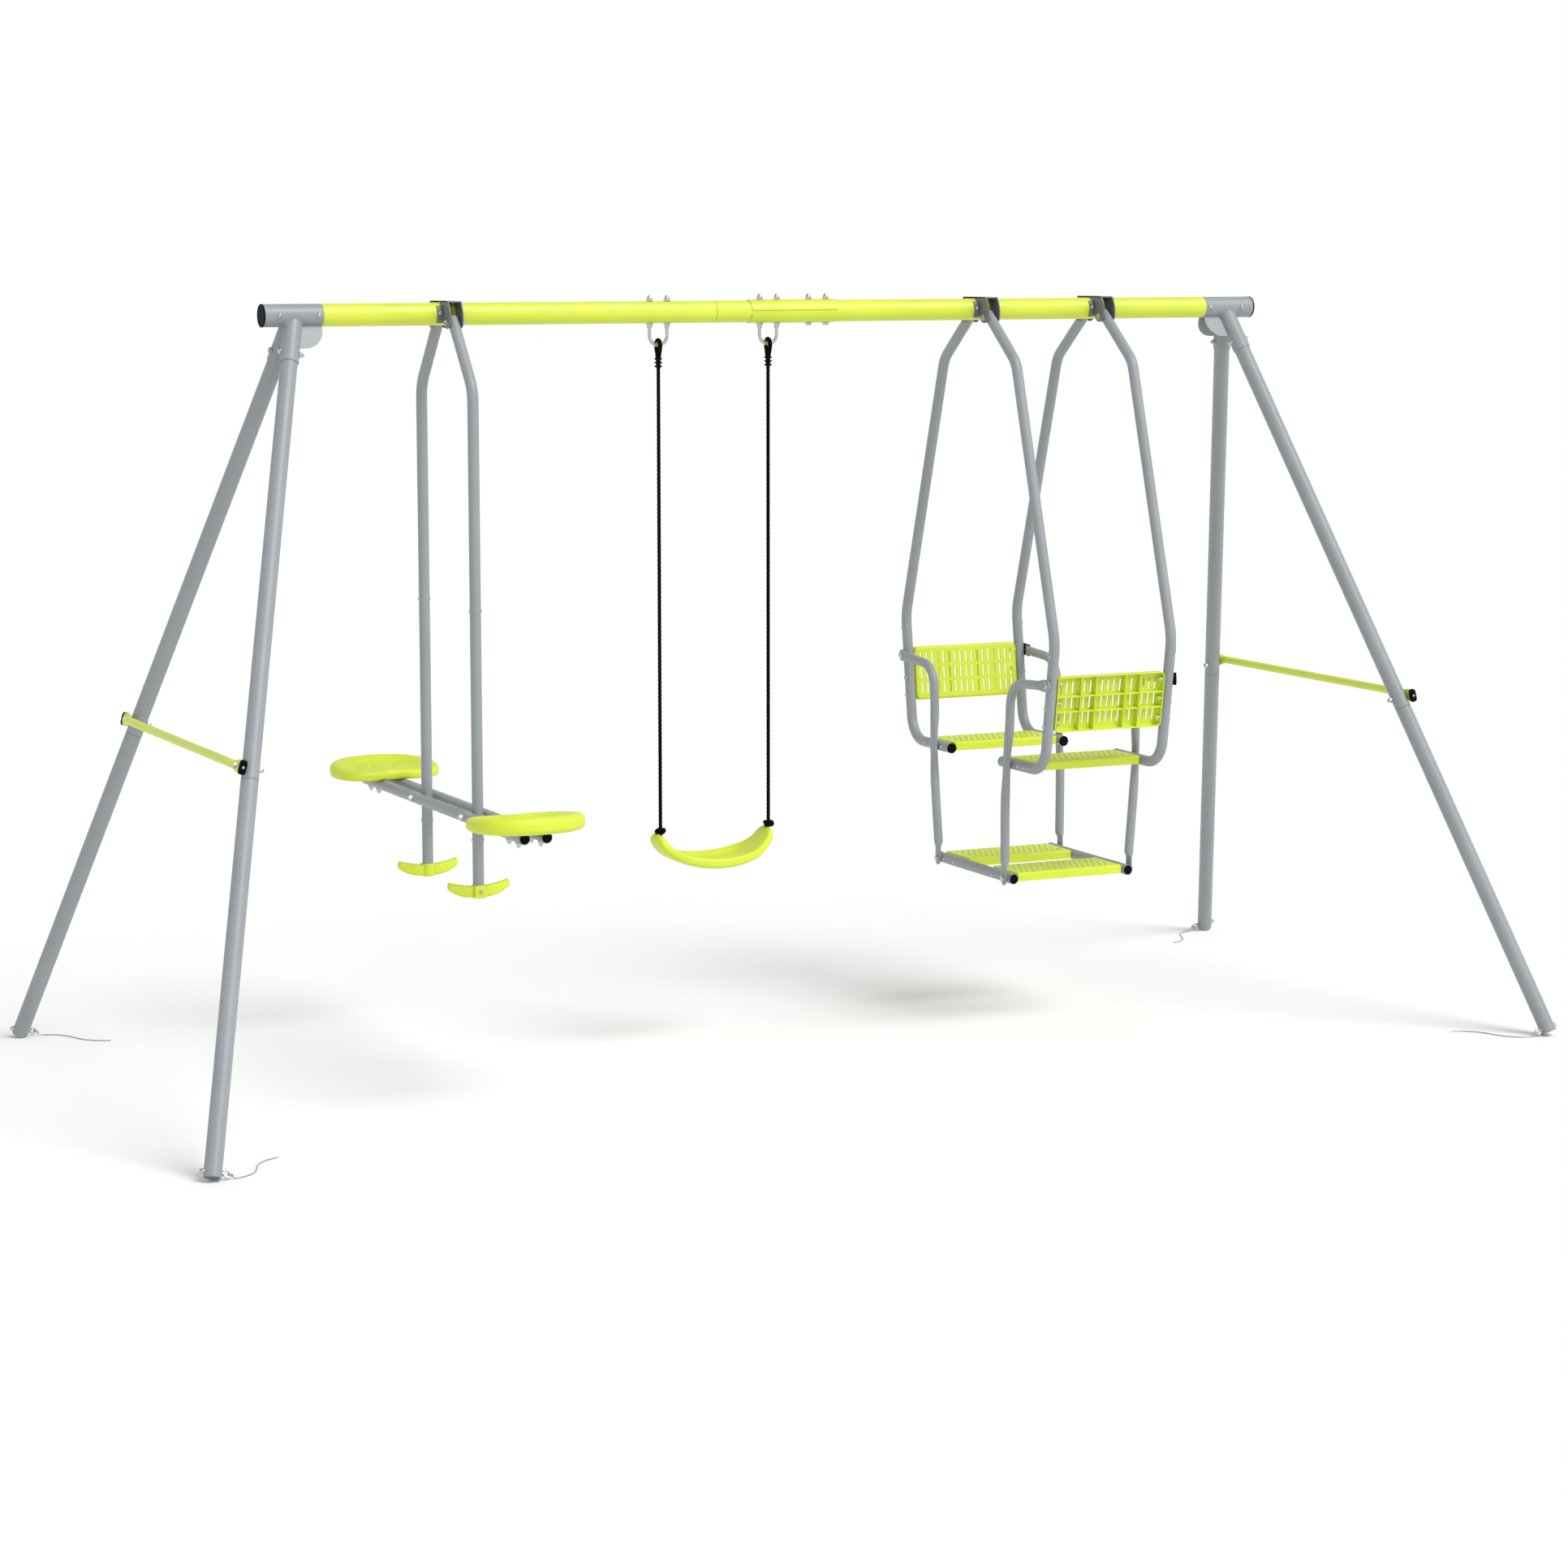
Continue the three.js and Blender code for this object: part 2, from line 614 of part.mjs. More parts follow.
function buildHangers() {
  const stations = {
    glider: GLIDER_X,
    gondola_left: GONDOLA_X - GONDOLA_HALF_WIDTH,
    gondola_right: GONDOLA_X + GONDOLA_HALF_WIDTH,
  };
  for (const [name, x] of Object.entries(stations)) {
    const hanger = add(swingSet, `hanger_bracket_${name}`, hangerBracket(), GREY_PAINT);
    hanger.position.set(x, 0, BEAM_HEIGHT);
  }
}

// ---------------------------------------------------------------- two-seat glider

// The hanging tube leaves its pivot at a slope and bends to run straight down.
function gliderTube() {
  const bendZ = 1568;
  const slope = new THREE.Vector2(PIVOT_Y - GLIDER_TUBE_Y, PIVOT_Z - bendZ).normalize();
  const top = [0, -PIVOT_Y - slope.x * -10, PIVOT_Z + slope.y * 10];
  const route = new BentRoute([top, [0, -GLIDER_TUBE_Y, bendZ], [0, -GLIDER_TUBE_Y, FOOTREST_Z + 5]], [80]);
  return cut(bentPipe(route), pinHole(-PIVOT_Y, PIVOT_Z));
}

function pinHole(y, z) {
  return moved(alongX(rod(PIVOT_HOLE_RADIUS, -40, 40, 8)), 0, y, z);
}

function railTube(half) {
  return alongY(pipe(TUBE_RADIUS, TUBE_RADIUS - TUBE_WALL, -half, half, TUBE_SIDES));
}

// A rail, with the front pivot pin fixed to the left-hand one.
function gliderRail(withPin) {
  const rail = railTube(GLIDER_RAIL_HALF);
  if (!withPin) return rail;
  const pin = alongX(rod(PIVOT_PIN_RADIUS, -TUBE_RADIUS - 4, 2 * GLIDER_RAIL_X - TUBE_RADIUS - GAP, 8));
  return join(rail, moved(pin, 0, -GLIDER_TUBE_Y, 0));
}

// Plan outline of the saddle seat: a wide oval with a notch on the side nearest the middle.
function saddleOutline() {
  const shape = new THREE.Shape();
  shape.moveTo(0, -86);
  shape.bezierCurveTo(22, -86, 34, -100, 62, -98);
  shape.bezierCurveTo(104, -95, 131, -62, 131, -14);
  shape.bezierCurveTo(131, 52, 84, 96, 0, 96);
  shape.bezierCurveTo(-84, 96, -131, 52, -131, -14);
  shape.bezierCurveTo(-131, -62, -104, -95, -62, -98);
  shape.bezierCurveTo(-34, -100, -22, -86, 0, -86);
  return shape;
}

// The seat is a thick pad with bevelled edges, higher at the outer edge, with a shallow dish.
function gliderSeat() {
  const body = new THREE.ExtrudeGeometry(saddleOutline(), {
    depth: SADDLE_RISE - 2 * SADDLE_EDGE, bevelThickness: SADDLE_EDGE, bevelSize: SADDLE_EDGE,
    bevelOffset: -SADDLE_EDGE, bevelSegments: 2, curveSegments: 5,
  }).translate(0, 0, SADDLE_EDGE);
  const p = body.getAttribute('position');
  for (let i = 0; i < p.count; i++) {
    p.setZ(i, p.getZ(i) * (1 + (SADDLE_SLOPE * p.getY(i)) / SADDLE_RISE));
  }
  const [across, deep, high] = [130, 88, 30];
  const dish = new THREE.SphereGeometry(1, 20, 10).scale(across, deep, high);
  return cut(body, dish.translate(0, 0, SADDLE_RISE + high - SADDLE_DISH));
}

// Foot rest: a socket round the tube's foot, with a curved peg each side.
function footrest() {
  const wing = new THREE.Shape();
  wing.moveTo(10, 1.5);
  wing.quadraticCurveTo(54, 1.5, 73, 22.5);
  wing.lineTo(73, 39.5);
  wing.quadraticCurveTo(44, 27, 10, 27);
  const pegs = [-1, 1].map((side) => {
    const peg = plateAcrossY(wing, -10, 10, 5);
    return side > 0 ? peg : closed(peg.scale(-1, 1, 1));
  });
  const socket = rod(16.3, 0, 30, LEG_SIDES);
  const bore = rod(TUBE_RADIUS + GAP, 4, 40, LEG_SIDES);
  return cut(join(socket, ...pegs), bore);
}

function buildGlider() {
  const glider = group(swingSet, GLIDER_X);
  const front = group(glider);
  const back = group(glider, 0, 0, 0, Math.PI);
  add(front, 'glider_front_tube', cut(gliderTube(), pinHole(-GLIDER_TUBE_Y, GLIDER_RAIL_Z)), GREY_PAINT);
  add(back, 'glider_back_tube', gliderTube(), GREY_PAINT);
  for (const [name, side] of [['left', -1], ['right', 1]]) {
    const rail = add(glider, `glider_rail_${name}`, gliderRail(side < 0), GREY_PAINT);
    rail.position.set(side * GLIDER_RAIL_X, 0, GLIDER_RAIL_Z);
  }
  for (const [name, side, half] of [['front', -1, front], ['back', 1, back]]) {
    const seat = add(glider, `glider_seat_${name}`, gliderSeat(), LIME_PLASTIC);
    seat.position.set(0, side * GLIDER_SEAT_Y, GLIDER_RAIL_Z + TUBE_RADIUS + GAP);
    seat.rotation.z = side > 0 ? 0 : Math.PI;
    const rest = add(half, `glider_footrest_${name}`, footrest(), LIME_PLASTIC);
    rest.position.set(0, -GLIDER_TUBE_Y, FOOTREST_Z);
  }
}

// ---------------------------------------------------------------- rope swing

// The U-bolt's legs pass up through the beam; domed nuts on top, plain nuts underneath.
// `seat` is the radius at which its washers bear.
function uBolt(seat) {
  const low = SWING_PIVOT_Z - BEAM_HEIGHT;
  const top = seat + 6;
  const bend = U_BOLT_HALF - 0.01;
  const corners = [
    [-U_BOLT_HALF, 0, top], [-U_BOLT_HALF, 0, low], [U_BOLT_HALF, 0, low], [U_BOLT_HALF, 0, top],
  ];
  const wire = sweep(new THREE.Shape(ring(U_BOLT_WIRE, 8)), new BentRoute(corners, [bend, bend]));
  const fittings = [-U_BOLT_HALF, U_BOLT_HALF].flatMap((x) => [
    domedNut(seat),
    rod(6.5, -seat - 7, -seat, 6),
  ].map((piece) => moved(piece, x, 0, 0)));
  return join(wire, ...fittings);
}

// Rope eye: a loop round a thimble, closed by a ringed ferrule. It hangs on the U-bolt.
function ropeEye() {
  const outline = new THREE.Shape();
  outline.absarc(0, 0, 17, -0.2, Math.PI + 0.2, false);
  outline.lineTo(-7, -34);
  outline.lineTo(7, -34);
  const hole = new THREE.Path();
  hole.absarc(0, 0, 7.2, 0, Math.PI, false);
  hole.lineTo(0, -17);
  outline.holes.push(hole);
  const loop = plateAcrossX(outline, -5.5, 5.5, 5);
  const rings = [-31, -39.5, -48].map((z) => rod(9, z - 2, z + 2, 8));
  const ferrule = rod(6, -52, -29, 8);
  return join(loop, ferrule, ...rings);
}

// Each rope runs straight from its ferrule to the knot on top of the seat's horn.
function swingRope() {
  return rod(ROPE_RADIUS, SWING_SEAT_TOP + GAP, ROPE_TOP, 12);
}

// Side shape of the belt seat: its under side, and a top side that is `middle` thick at the lowest
// place. The horns at both ends are round on top.
function beltProfile(middle) {
  const half = (ROPE_X[1] - ROPE_X[0]) / 2;
  const shape = new THREE.Shape();
  shape.moveTo(-half - 12, SWING_SEAT_TOP - 14);
  shape.bezierCurveTo(-half - 4, 456, -88, SWING_SEAT_LOW + 2, 0, SWING_SEAT_LOW);
  shape.bezierCurveTo(88, SWING_SEAT_LOW + 2, half + 4, 456, half + 12, SWING_SEAT_TOP - 14);
  shape.quadraticCurveTo(half + 8, SWING_SEAT_TOP, half - 2, SWING_SEAT_TOP);
  shape.quadraticCurveTo(half - 14, SWING_SEAT_TOP, half - 18, SWING_SEAT_TOP - 16);
  const top = SWING_SEAT_LOW + middle;
  shape.bezierCurveTo(half - 34, 477, 70, top + 2, 0, top);
  shape.bezierCurveTo(-70, top + 2, -half + 34, 477, -half + 18, SWING_SEAT_TOP - 16);
  shape.quadraticCurveTo(-half + 14, SWING_SEAT_TOP, -half + 2, SWING_SEAT_TOP);
  shape.quadraticCurveTo(-half - 8, SWING_SEAT_TOP, -half - 12, SWING_SEAT_TOP - 14);
  return shape;
}

// Plan of the belt seat: widest beside the middle, narrow and round at the horns.
function beltPlan(half, width) {
  const plan = new THREE.Shape();
  plan.moveTo(half, 0);
  plan.bezierCurveTo(half, 0.7 * width, half - 38, 0.84 * width, 84, width);
  plan.bezierCurveTo(50, width + 10, -50, width + 10, -84, width);
  plan.bezierCurveTo(-half + 38, 0.84 * width, -half, 0.7 * width, -half, 0);
  plan.bezierCurveTo(-half, -0.7 * width, -half + 38, -0.84 * width, -84, -width);
  plan.bezierCurveTo(-50, -width - 10, 50, -width - 10, 84, -width);
  plan.bezierCurveTo(half - 38, -0.84 * width, half, -0.7 * width, half, 0);
  return plan;
}

// The belt seat is a thick moulded strip with a raised rim round a sunken floor.
function swingSeat() {
  const half = (ROPE_X[1] - ROPE_X[0]) / 2;
  const belt = common(
    plateAcrossY(beltProfile(SWING_SEAT_RIM), -90, 90, 5),
    plate(beltPlan(half + 14, 62), 380, 540, 4),
  );
  const aboveFloor = cut(
    block(-half - 30, half + 30, -90, 90, SWING_SEAT_LOW - 5, SWING_SEAT_TOP + 5),
    plateAcrossY(beltProfile(SWING_SEAT_FLOOR), -95, 95, 5),
    block(-half - 40, half + 40, -95, 95, SWING_SEAT_LOW - 20, SWING_SEAT_LOW + 1),
  );
  return cut(belt, common(aboveFloor, plate(beltPlan(half - 26, 50), 400, 540, 4)));
}

function buildRopeSwing() {
  const washerSeat = [BEAM_RADIUS + GAP, BEAM_RADIUS + COLLAR_WALL + 2 * GAP];
  for (const [i, name] of ['left', 'right'].entries()) {
    const bolt = add(swingSet, `u_bolt_${name}`, uBolt(washerSeat[i]), ZINC);
    bolt.position.set(ROPE_X[i], 0, BEAM_HEIGHT);
    const eye = add(swingSet, `rope_eye_${name}`, ropeEye(), ROPE);
    eye.position.set(ROPE_X[i], 0, SWING_PIVOT_Z);
    const rope = add(swingSet, `swing_rope_${name}`, swingRope(), ROPE);
    rope.position.x = ROPE_X[i];
  }
  const seat = add(swingSet, 'swing_seat', swingSeat(), LIME_PLASTIC);
  seat.position.x = (ROPE_X[0] + ROPE_X[1]) / 2 + SWING_SEAT_SHIFT[0];
  seat.position.y = SWING_SEAT_SHIFT[1];
}

// ---------------------------------------------------------------- gondola glider

// Hanging tube: out from the pivot, down past the backrest, then in under the seat as its rail.
function hangingTube() {
  const shoulder = [0, -181, 1609.4];
  const away = new THREE.Vector2(PIVOT_Y - 181, PIVOT_Z - 1609.4).normalize();
  const top = [0, -PIVOT_Y - away.x * -10, PIVOT_Z + away.y * 10];
  const corners = [top, shoulder, [0, -379.4, 963.8], [0, -337, SEAT_RAIL_Z], [0, -131, SEAT_RAIL_Z]];
  return cut(bentPipe(new BentRoute(corners, [70, 120, 66])), pinHole(-PIVOT_Y, PIVOT_Z));
}

// The arm is a bent tube beside a hanging tube at x = 0, on the side that `outer` says. Its ends
// are pressed flat against the tube and the floor rail, and it is dented where it crosses the
// seat rail.
function armTube(outer, withPinHole) {
  const flatX = outer * (TUBE_RADIUS + GAP + ARM_FLAT / 2);
  const dentX = outer * (TUBE_RADIUS + 0.6 + ARM_DENT / 2);
  const oval = (x, y, z, along, thick, wide) => ({
    at: new THREE.Vector3(x, y, z), along: new THREE.Vector3(...along), thick, wide,
  });
  const corners = [[flatX, -330, 859.5], [flatX, -197, 851.5], [flatX, -192, 720]];
  const elbow = new BentRoute(corners, [60]).stations.slice(1, -1);
  const [back, down, inwards] = [[0, 1, -0.05], [0, 0.03, -1], [0, 0.06, -1]];
  const tube = (wall) => {
    const wide = 2 * (ARM_RADIUS - wall);
    const dent = (y, z) => oval(dentX, y, z, down, ARM_DENT - 2 * wall, wide + 5);
    return [
      oval(flatX, -330, 859.5, back, wide, wide),
      ...elbow.map(({ point, tangent }) => ({ at: point, along: tangent, thick: wide, wide })),
      oval(flatX + outer * 0.5, -191.6, 735, down, wide, wide),
      dent(-187.5, SEAT_RAIL_Z + 15),
      dent(-186.5, SEAT_RAIL_Z - 15),
      oval(outer * 19.5, -181, 570, inwards, wide, wide),
      oval(outer * 15.2, -173.4, 450, inwards, wide, wide),
      oval(outer * 14.3, -171.7, 430, inwards, wide, wide),
    ];
  };
  const press = (y, z, along, wide) => oval(flatX, y, z, along, ARM_FLAT, wide);
  const body = loft([
    press(-384, 862.8, back, 14), press(-377, 862.4, back, 29), press(-355, 861.2, back, 29),
    ...tube(0),
    press(-170.4, 402, down, 25), press(-170.2, 366, down, 25), press(-170.5, 358, down, 14),
  ], TUBE_SIDES);
  const drain = moved(alongX(rod(2.5, 0, 40, 6)).scale(outer, 1, 1), outer * 16, -179, 540);
  const arm = cut(body, loft(tube(TUBE_WALL), BORE_SIDES), closed(drain));
  return withPinHole ? cut(arm, pinHole(-ARM_FOOT_Y, FLOOR_RAIL_Z)) : arm;
}

// Cutters for the rows of slots in a panel, each row centred on one of the given Y values.
function slots(rows, length) {
  const cutters = rows.flatMap((y) => Array.from({ length: SLOT_COLUMNS }, (_, column) => {
    const x = (column - (SLOT_COLUMNS - 1) / 2) * SLOT_PITCH;
    return block(x - SLOT_WIDTH / 2, x + SLOT_WIDTH / 2, y - length / 2, y + length / 2, -40, 5);
  }));
  return mergeGeometries(cutters);
}

// A moulded tray, open below: its skin lies from z = 0 down to -PLATE, its skirt goes deeper.
function tray(width, radius, skirtDepth) {
  const half = PANEL_LENGTH / 2;
  const wall = 3;
  const outside = roundedRectangle(-half, half, -width / 2, width / 2, radius);
  const [hollowHalf, hollowWidth] = [half - wall, width / 2 - wall];
  const inside = roundedRectangle(-hollowHalf, hollowHalf, -hollowWidth, hollowWidth, radius - wall);
  return cut(plate(outside, -skirtDepth, 0), plate(inside, -skirtDepth - 1, -PLATE));
}

// The backrest's skin faces +Z here.
function backrest() {
  return cut(tray(BACKREST_WIDTH, 9, 18), slots([-29, 29], 46));
}

// Seats and footboards share one board.
function board() {
  return cut(tray(BOARD_WIDTH, 5, 21), slots([0], 96));
}

function floorRail(outer) {
  const rail = railTube(FLOOR_RAIL_HALF);
  const pin = rod(PIVOT_PIN_RADIUS, TUBE_RADIUS - 3, TUBE_RADIUS + GAP + ARM_FLAT + 2.5, 8);
  const head = rod(6.5, TUBE_RADIUS + 2 * GAP + ARM_FLAT, TUBE_RADIUS + GAP + ARM_FLAT + 5, 8);
  const bolt = alongX(join(pin, head)).rotateZ(outer < 0 ? Math.PI : 0);
  return join(rail, moved(bolt, 0, -ARM_FOOT_Y, 0));
}

function buildGondola() {
  const gondola = group(swingSet, GONDOLA_X);
  const seatTop = SEAT_RAIL_Z + TUBE_RADIUS + 0.5;
  for (const [half, turnZ] of [['front', 0], ['back', Math.PI]]) {
    const unit = group(gondola, 0, 0, 0, turnZ);
    for (const side of [-1, 1]) {
      const name = side * Math.cos(turnZ) < 0 ? 'left' : 'right';
      const tube = add(unit, `gondola_tube_${half}_${name}`, hangingTube(), GREY_PAINT);
      tube.position.x = side * GONDOLA_HALF_WIDTH;
      const arm = add(unit, `gondola_arm_${half}_${name}`, armTube(side, half === 'front'), GREY_PAINT);
      arm.position.x = side * GONDOLA_HALF_WIDTH;
    }
    const seat = add(unit, `gondola_seat_${half}`, board(), LIME_PLASTIC);
    seat.position.set(0, -202.5, seatTop);
    const back = add(unit, `gondola_backrest_${half}`, backrest(), LIME_PLASTIC);
    back.position.set(0, -350, 817);
    back.rotation.x = -Math.PI / 2 + BACKREST_LEAN;
    const floor = add(unit, `gondola_footboard_${half}`, board(), LIME_PLASTIC);
    floor.position.set(0, -123, FLOOR_RAIL_Z + TUBE_RADIUS + 0.5);
  }
  for (const [name, side] of [['left', -1], ['right', 1]]) {
    const rail = add(gondola, `gondola_floor_rail_${name}`, floorRail(side), GREY_PAINT);
    rail.position.set(side * GONDOLA_HALF_WIDTH, 0, FLOOR_RAIL_Z);
  }
}

buildBeam();
buildEnd('right', 0);
buildEnd('left', Math.PI);
buildHangers();
buildGlider();
buildRopeSwing();
buildGondola();

export default swingSet;
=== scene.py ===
"""Looks of the family swing set: a tubular A-frame with a two-seat glider, a rope swing and a
face-to-face gondola. Metres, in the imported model's frame: X along the beam, front at -Y, Z up."""

import math

import bmesh
import bpy
import numpy as np
from mathutils import Matrix, Vector


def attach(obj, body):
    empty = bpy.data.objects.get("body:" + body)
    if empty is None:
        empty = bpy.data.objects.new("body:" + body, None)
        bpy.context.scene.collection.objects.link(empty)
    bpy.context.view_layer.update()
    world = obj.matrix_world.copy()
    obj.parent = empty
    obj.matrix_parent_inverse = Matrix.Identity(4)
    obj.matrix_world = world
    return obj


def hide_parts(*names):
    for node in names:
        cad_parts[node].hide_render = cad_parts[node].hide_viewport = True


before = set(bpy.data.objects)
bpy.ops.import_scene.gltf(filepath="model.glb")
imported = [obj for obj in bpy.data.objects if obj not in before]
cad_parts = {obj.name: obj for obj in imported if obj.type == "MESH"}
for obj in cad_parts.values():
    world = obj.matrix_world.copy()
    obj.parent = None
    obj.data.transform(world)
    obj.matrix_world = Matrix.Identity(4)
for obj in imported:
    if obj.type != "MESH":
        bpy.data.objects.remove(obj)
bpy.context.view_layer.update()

TAU = 2 * math.pi
X_AXIS, Y_AXIS, Z_AXIS = Vector((1, 0, 0)), Vector((0, 1, 0)), Vector((0, 0, 1))

# ------------------------------------------------------------------ driving dimensions

GAP = 0.0004
BEAM_RADIUS, BEAM_WALL = 0.0254, 0.002
LEG_RADIUS, LEG_WALL = 0.01905, 0.0016
TUBE_RADIUS, TUBE_WALL = 0.0127, 0.0014

BEAM_Z = 1.732
BRACKET_INNER_X, BRACKET_OUTER_X = 1.139, 1.273
LEG_TOP_X = 1.201
FOOT_X, FOOT_Y, FOOT_RISE = 1.6635, 0.784, 0.0089
LEG_START, SOCKET_END, SOCKET_BOLT, LEG_SEAM = 0.050, 0.116, 0.092, 1.090
BEAM_SEAM_X = -0.185
COLLAR_X, COLLAR_THICK = (-0.096, 0.126), 0.0019
COLLAR_BOLT_X = (0.060, 0.105)
BRACE_Z, BRACE_OFFSET, BRACE_HALF, BRACE_BOLT_Y = 0.800, 0.031, 0.452, 0.424
BRACE_ROUND, BRACE_THICK, BRACE_WIDE = 0.019, 0.013, 0.030
BRACE_OVAL_LENGTH, BRACE_PRESS_LENGTH = 0.018, 0.026
ANCHOR_BACKSET, EYE_REACH, EYE_RADIUS, EYE_WIRE = 0.0115, 0.029, 0.0067, 0.0024
CABLE_DIAMETER = 0.0025

GLIDER_X = -0.844
ROPE_X = (-0.324, -0.044)
GONDOLA_X, GONDOLA_HALF = 0.677, 0.1585
PIVOT_Y, PIVOT_Z = 0.050, BEAM_Z - 0.018
CHEEK_INNER, PLATE, PIN_RADIUS = 0.0136, 0.003, 0.004
TUBE_ABOVE_PIVOT = 0.010

GLIDER_TUBE_Y, GLIDER_BEND_Z, GLIDER_SEAM_Z, FOOTREST_Z = 0.165, 1.568, 1.067, 0.428
GLIDER_RAIL_X, GLIDER_RAIL_Z, GLIDER_RAIL_HALF = 0.026, 0.6135, 0.518
GLIDER_SEAT_Y, SADDLE_BOLT_Y = 0.471, (-0.045, 0.011)
SADDLE_RISE, SADDLE_SLOPE, SADDLE_DISH = 0.0315, 0.10, 0.0115

U_BOLT_HALF, U_BOLT_WIRE = 0.022, 0.004
SWING_PIVOT_Z = 1.656
ROPE_RADIUS = 0.0045
SWING_SEAT_TOP, SWING_SEAT_LOW, SWING_SEAT_RIM = 0.515, 0.4285, 0.031
SWING_SEAT_SHIFT = (-0.0045, 0.006)

SHOULDER_Y, SHOULDER_Z = 0.181, 1.6094  # upper bend of a gondola's hanging tube
KNEE_Y, KNEE_Z = 0.3794, 0.9638  # its bend above the backrest
SEAT_RAIL_Y, SEAT_RAIL_Z, SEAT_RAIL_END_Y = 0.337, 0.6537, 0.131
FLOOR_RAIL_Z, FLOOR_RAIL_HALF = 0.375, 0.192
PANEL_LENGTH = 2 * (GONDOLA_HALF - TUBE_RADIUS - GAP)
TRAY_WALL, SLOT_SOFT, SLOT_COLUMNS = 0.0028, 0.0004, 17
BOARD_WIDTH, BOARD_DEPTH = 0.125, 0.021
BOARD_PITCH, BOARD_SLOT = (0.0155, 0.0172), (0.0056, 0.0130)
SEAT_BOARD_Y, FOOTBOARD_Y = 0.2025, 0.123
BACKREST_WIDTH, BACKREST_DEPTH, BACKREST_LEAN = 0.134, 0.018, 0.136
BACKREST_Y, BACKREST_Z = 0.350, 0.817
BACKREST_PITCH, BACKREST_SLOT = (0.0160, 0.0370), (0.0041, 0.0300)
ARM_RADIUS, ARM_FOOT_Y, ARM_FLAT, ARM_DENT = 0.011, 0.1696, 0.0046, 0.013

ROUND = 64  # points round a large tube
SMALL_ROUND = 32  # points round a wire or a pin
NUT_ROUND = 48  # points round a nut or a screw's socket
RIM = 0.0005  # rounding of a cut tube end

# ------------------------------------------------------------------ camera


def make_camera():
    data = bpy.data.cameras.new("photo_camera")
    data.lens = 87.07
    data.sensor_width = 36
    camera = bpy.data.objects.new("photo_camera", data)
    camera.location = (-3.8459, -8.0750, 1.9011)
    camera.rotation_euler = (math.radians(90 - 8.1921), 0, math.radians(-25.4525))
    bpy.context.scene.collection.objects.link(camera)
    bpy.context.scene.camera = camera


make_camera()

# ------------------------------------------------------------------ forms: (points, faces)


def placed(form, *matrices):
    """The form moved by the matrices, the last one first."""
    matrix = Matrix()
    for m in matrices:
        matrix = matrix @ m
    points, faces = form
    m = np.array(matrix)
    return points @ m[:3, :3].T + m[:3, 3], faces


def at(x=0.0, y=0.0, z=0.0):
    return Matrix.Translation((x, y, z))


def turn(degrees, axis):
    return Matrix.Rotation(math.radians(degrees), 4, axis)


def facing(direction, point=(0, 0, 0)):
    """Places a form that stands on +Z so that it stands along the direction, at the point."""
    turned_to = Vector(direction).to_track_quat("Z", "Y").to_matrix().to_4x4()
    return Matrix.Translation(point) @ turned_to


def skin(rings, loop=False):
    """A closed form through rings with equal numbers of points, capped unless the rings loop."""
    count = len(rings[0])
    points = np.concatenate([np.asarray(r, float) for r in rings])
    faces = []
    for i in range(len(rings) - (0 if loop else 1)):
        a, b = i * count, (i + 1) % len(rings) * count
        for k in range(count):
            n = (k + 1) % count
            faces.append((a + k, a + n, b + n, b + k))
    if not loop:
        faces.append(tuple(range(count))[::-1])
        faces.append(tuple(range(len(points) - count, len(points))))
    return points, faces


def whole_turn(count):
    """Even steps of angle round a circle."""
    return np.arange(count) * TAU / count


def circle(radius, z, sides):
    angles = whole_turn(sides)
    return np.stack([radius * np.cos(angles), radius * np.sin(angles), np.full(sides, z)], 1)


def polygon(across_flats, z, softness=0.97):
    """A ring of points on a nut's six-sided outline, with its corners slightly cut."""
    angles = whole_turn(NUT_ROUND)
    sector = TAU / 6
    off = (angles + sector / 2) % sector - sector / 2
    radius = np.minimum(1 / np.cos(off), softness / math.cos(sector / 2)) * across_flats / 2
    return np.stack([radius * np.cos(angles), radius * np.sin(angles), np.full(NUT_ROUND, z)], 1)


def turned(profile, sides=SMALL_ROUND):
    """A body turned about Z. The profile lists (radius, z), and ends on the axis or closes."""
    loop = profile[0] == profile[-1]
    rows = profile[:-1] if loop else profile
    return skin([circle(r, z, sides) for r, z in rows], loop)


def straight_pipe(outer, wall, z0, z1, sides=ROUND, rim=RIM):
    inner = outer - wall
    return turned([
        (inner + rim, z0), (outer - rim, z0), (outer - 0.3 * rim, z0 + 0.3 * rim), (outer, z0 + rim),
        (outer, z1 - rim), (outer - 0.3 * rim, z1 - 0.3 * rim), (outer - rim, z1), (inner + rim, z1),
        (inner, z1 - rim), (inner, z0 + rim), (inner + rim, z0),
    ], sides)


def bent_route(corners, radii, step=math.radians(4)):
    """Stations (point, tangent) along straight runs with rounded corners."""
    points = [Vector(c) for c in corners]
    stations = [(points[0], (points[1] - points[0]).normalized())]
    for previous, corner, following, radius in zip(points, points[1:], points[2:], radii):
        before = (previous - corner).normalized()
        after = (following - corner).normalized()
        half = before.angle(after) / 2
        bend = math.pi - 2 * half
        start = corner + before * (radius / math.tan(half))
        centre = corner + (before + after).normalized() * (radius / math.sin(half))
        axis = after.cross(before).normalized()
        steps = max(2, round(bend / step))
        for k in range(steps + 1):
            turn_back = Matrix.Rotation(bend * k / steps, 3, axis)
            stations.append((centre + turn_back @ (start - centre), -(turn_back @ before)))
    stations.append((points[-1], (points[-1] - points[-2]).normalized()))
    return stations


def section_ring(station, section, side):
    """A closed section (N x 2, first axis along `side`) laid square to the station's tangent."""
    point, tangent = station
    across = (side - tangent * side.dot(tangent)).normalized()
    other = tangent.cross(across)
    section = np.asarray(section)
    return np.array(point) + section[:, :1] * np.array(across) + section[:, 1:] * np.array(other)


def round_section(radius, sides=ROUND):
    return circle(radius, 0, sides)[:, :2]


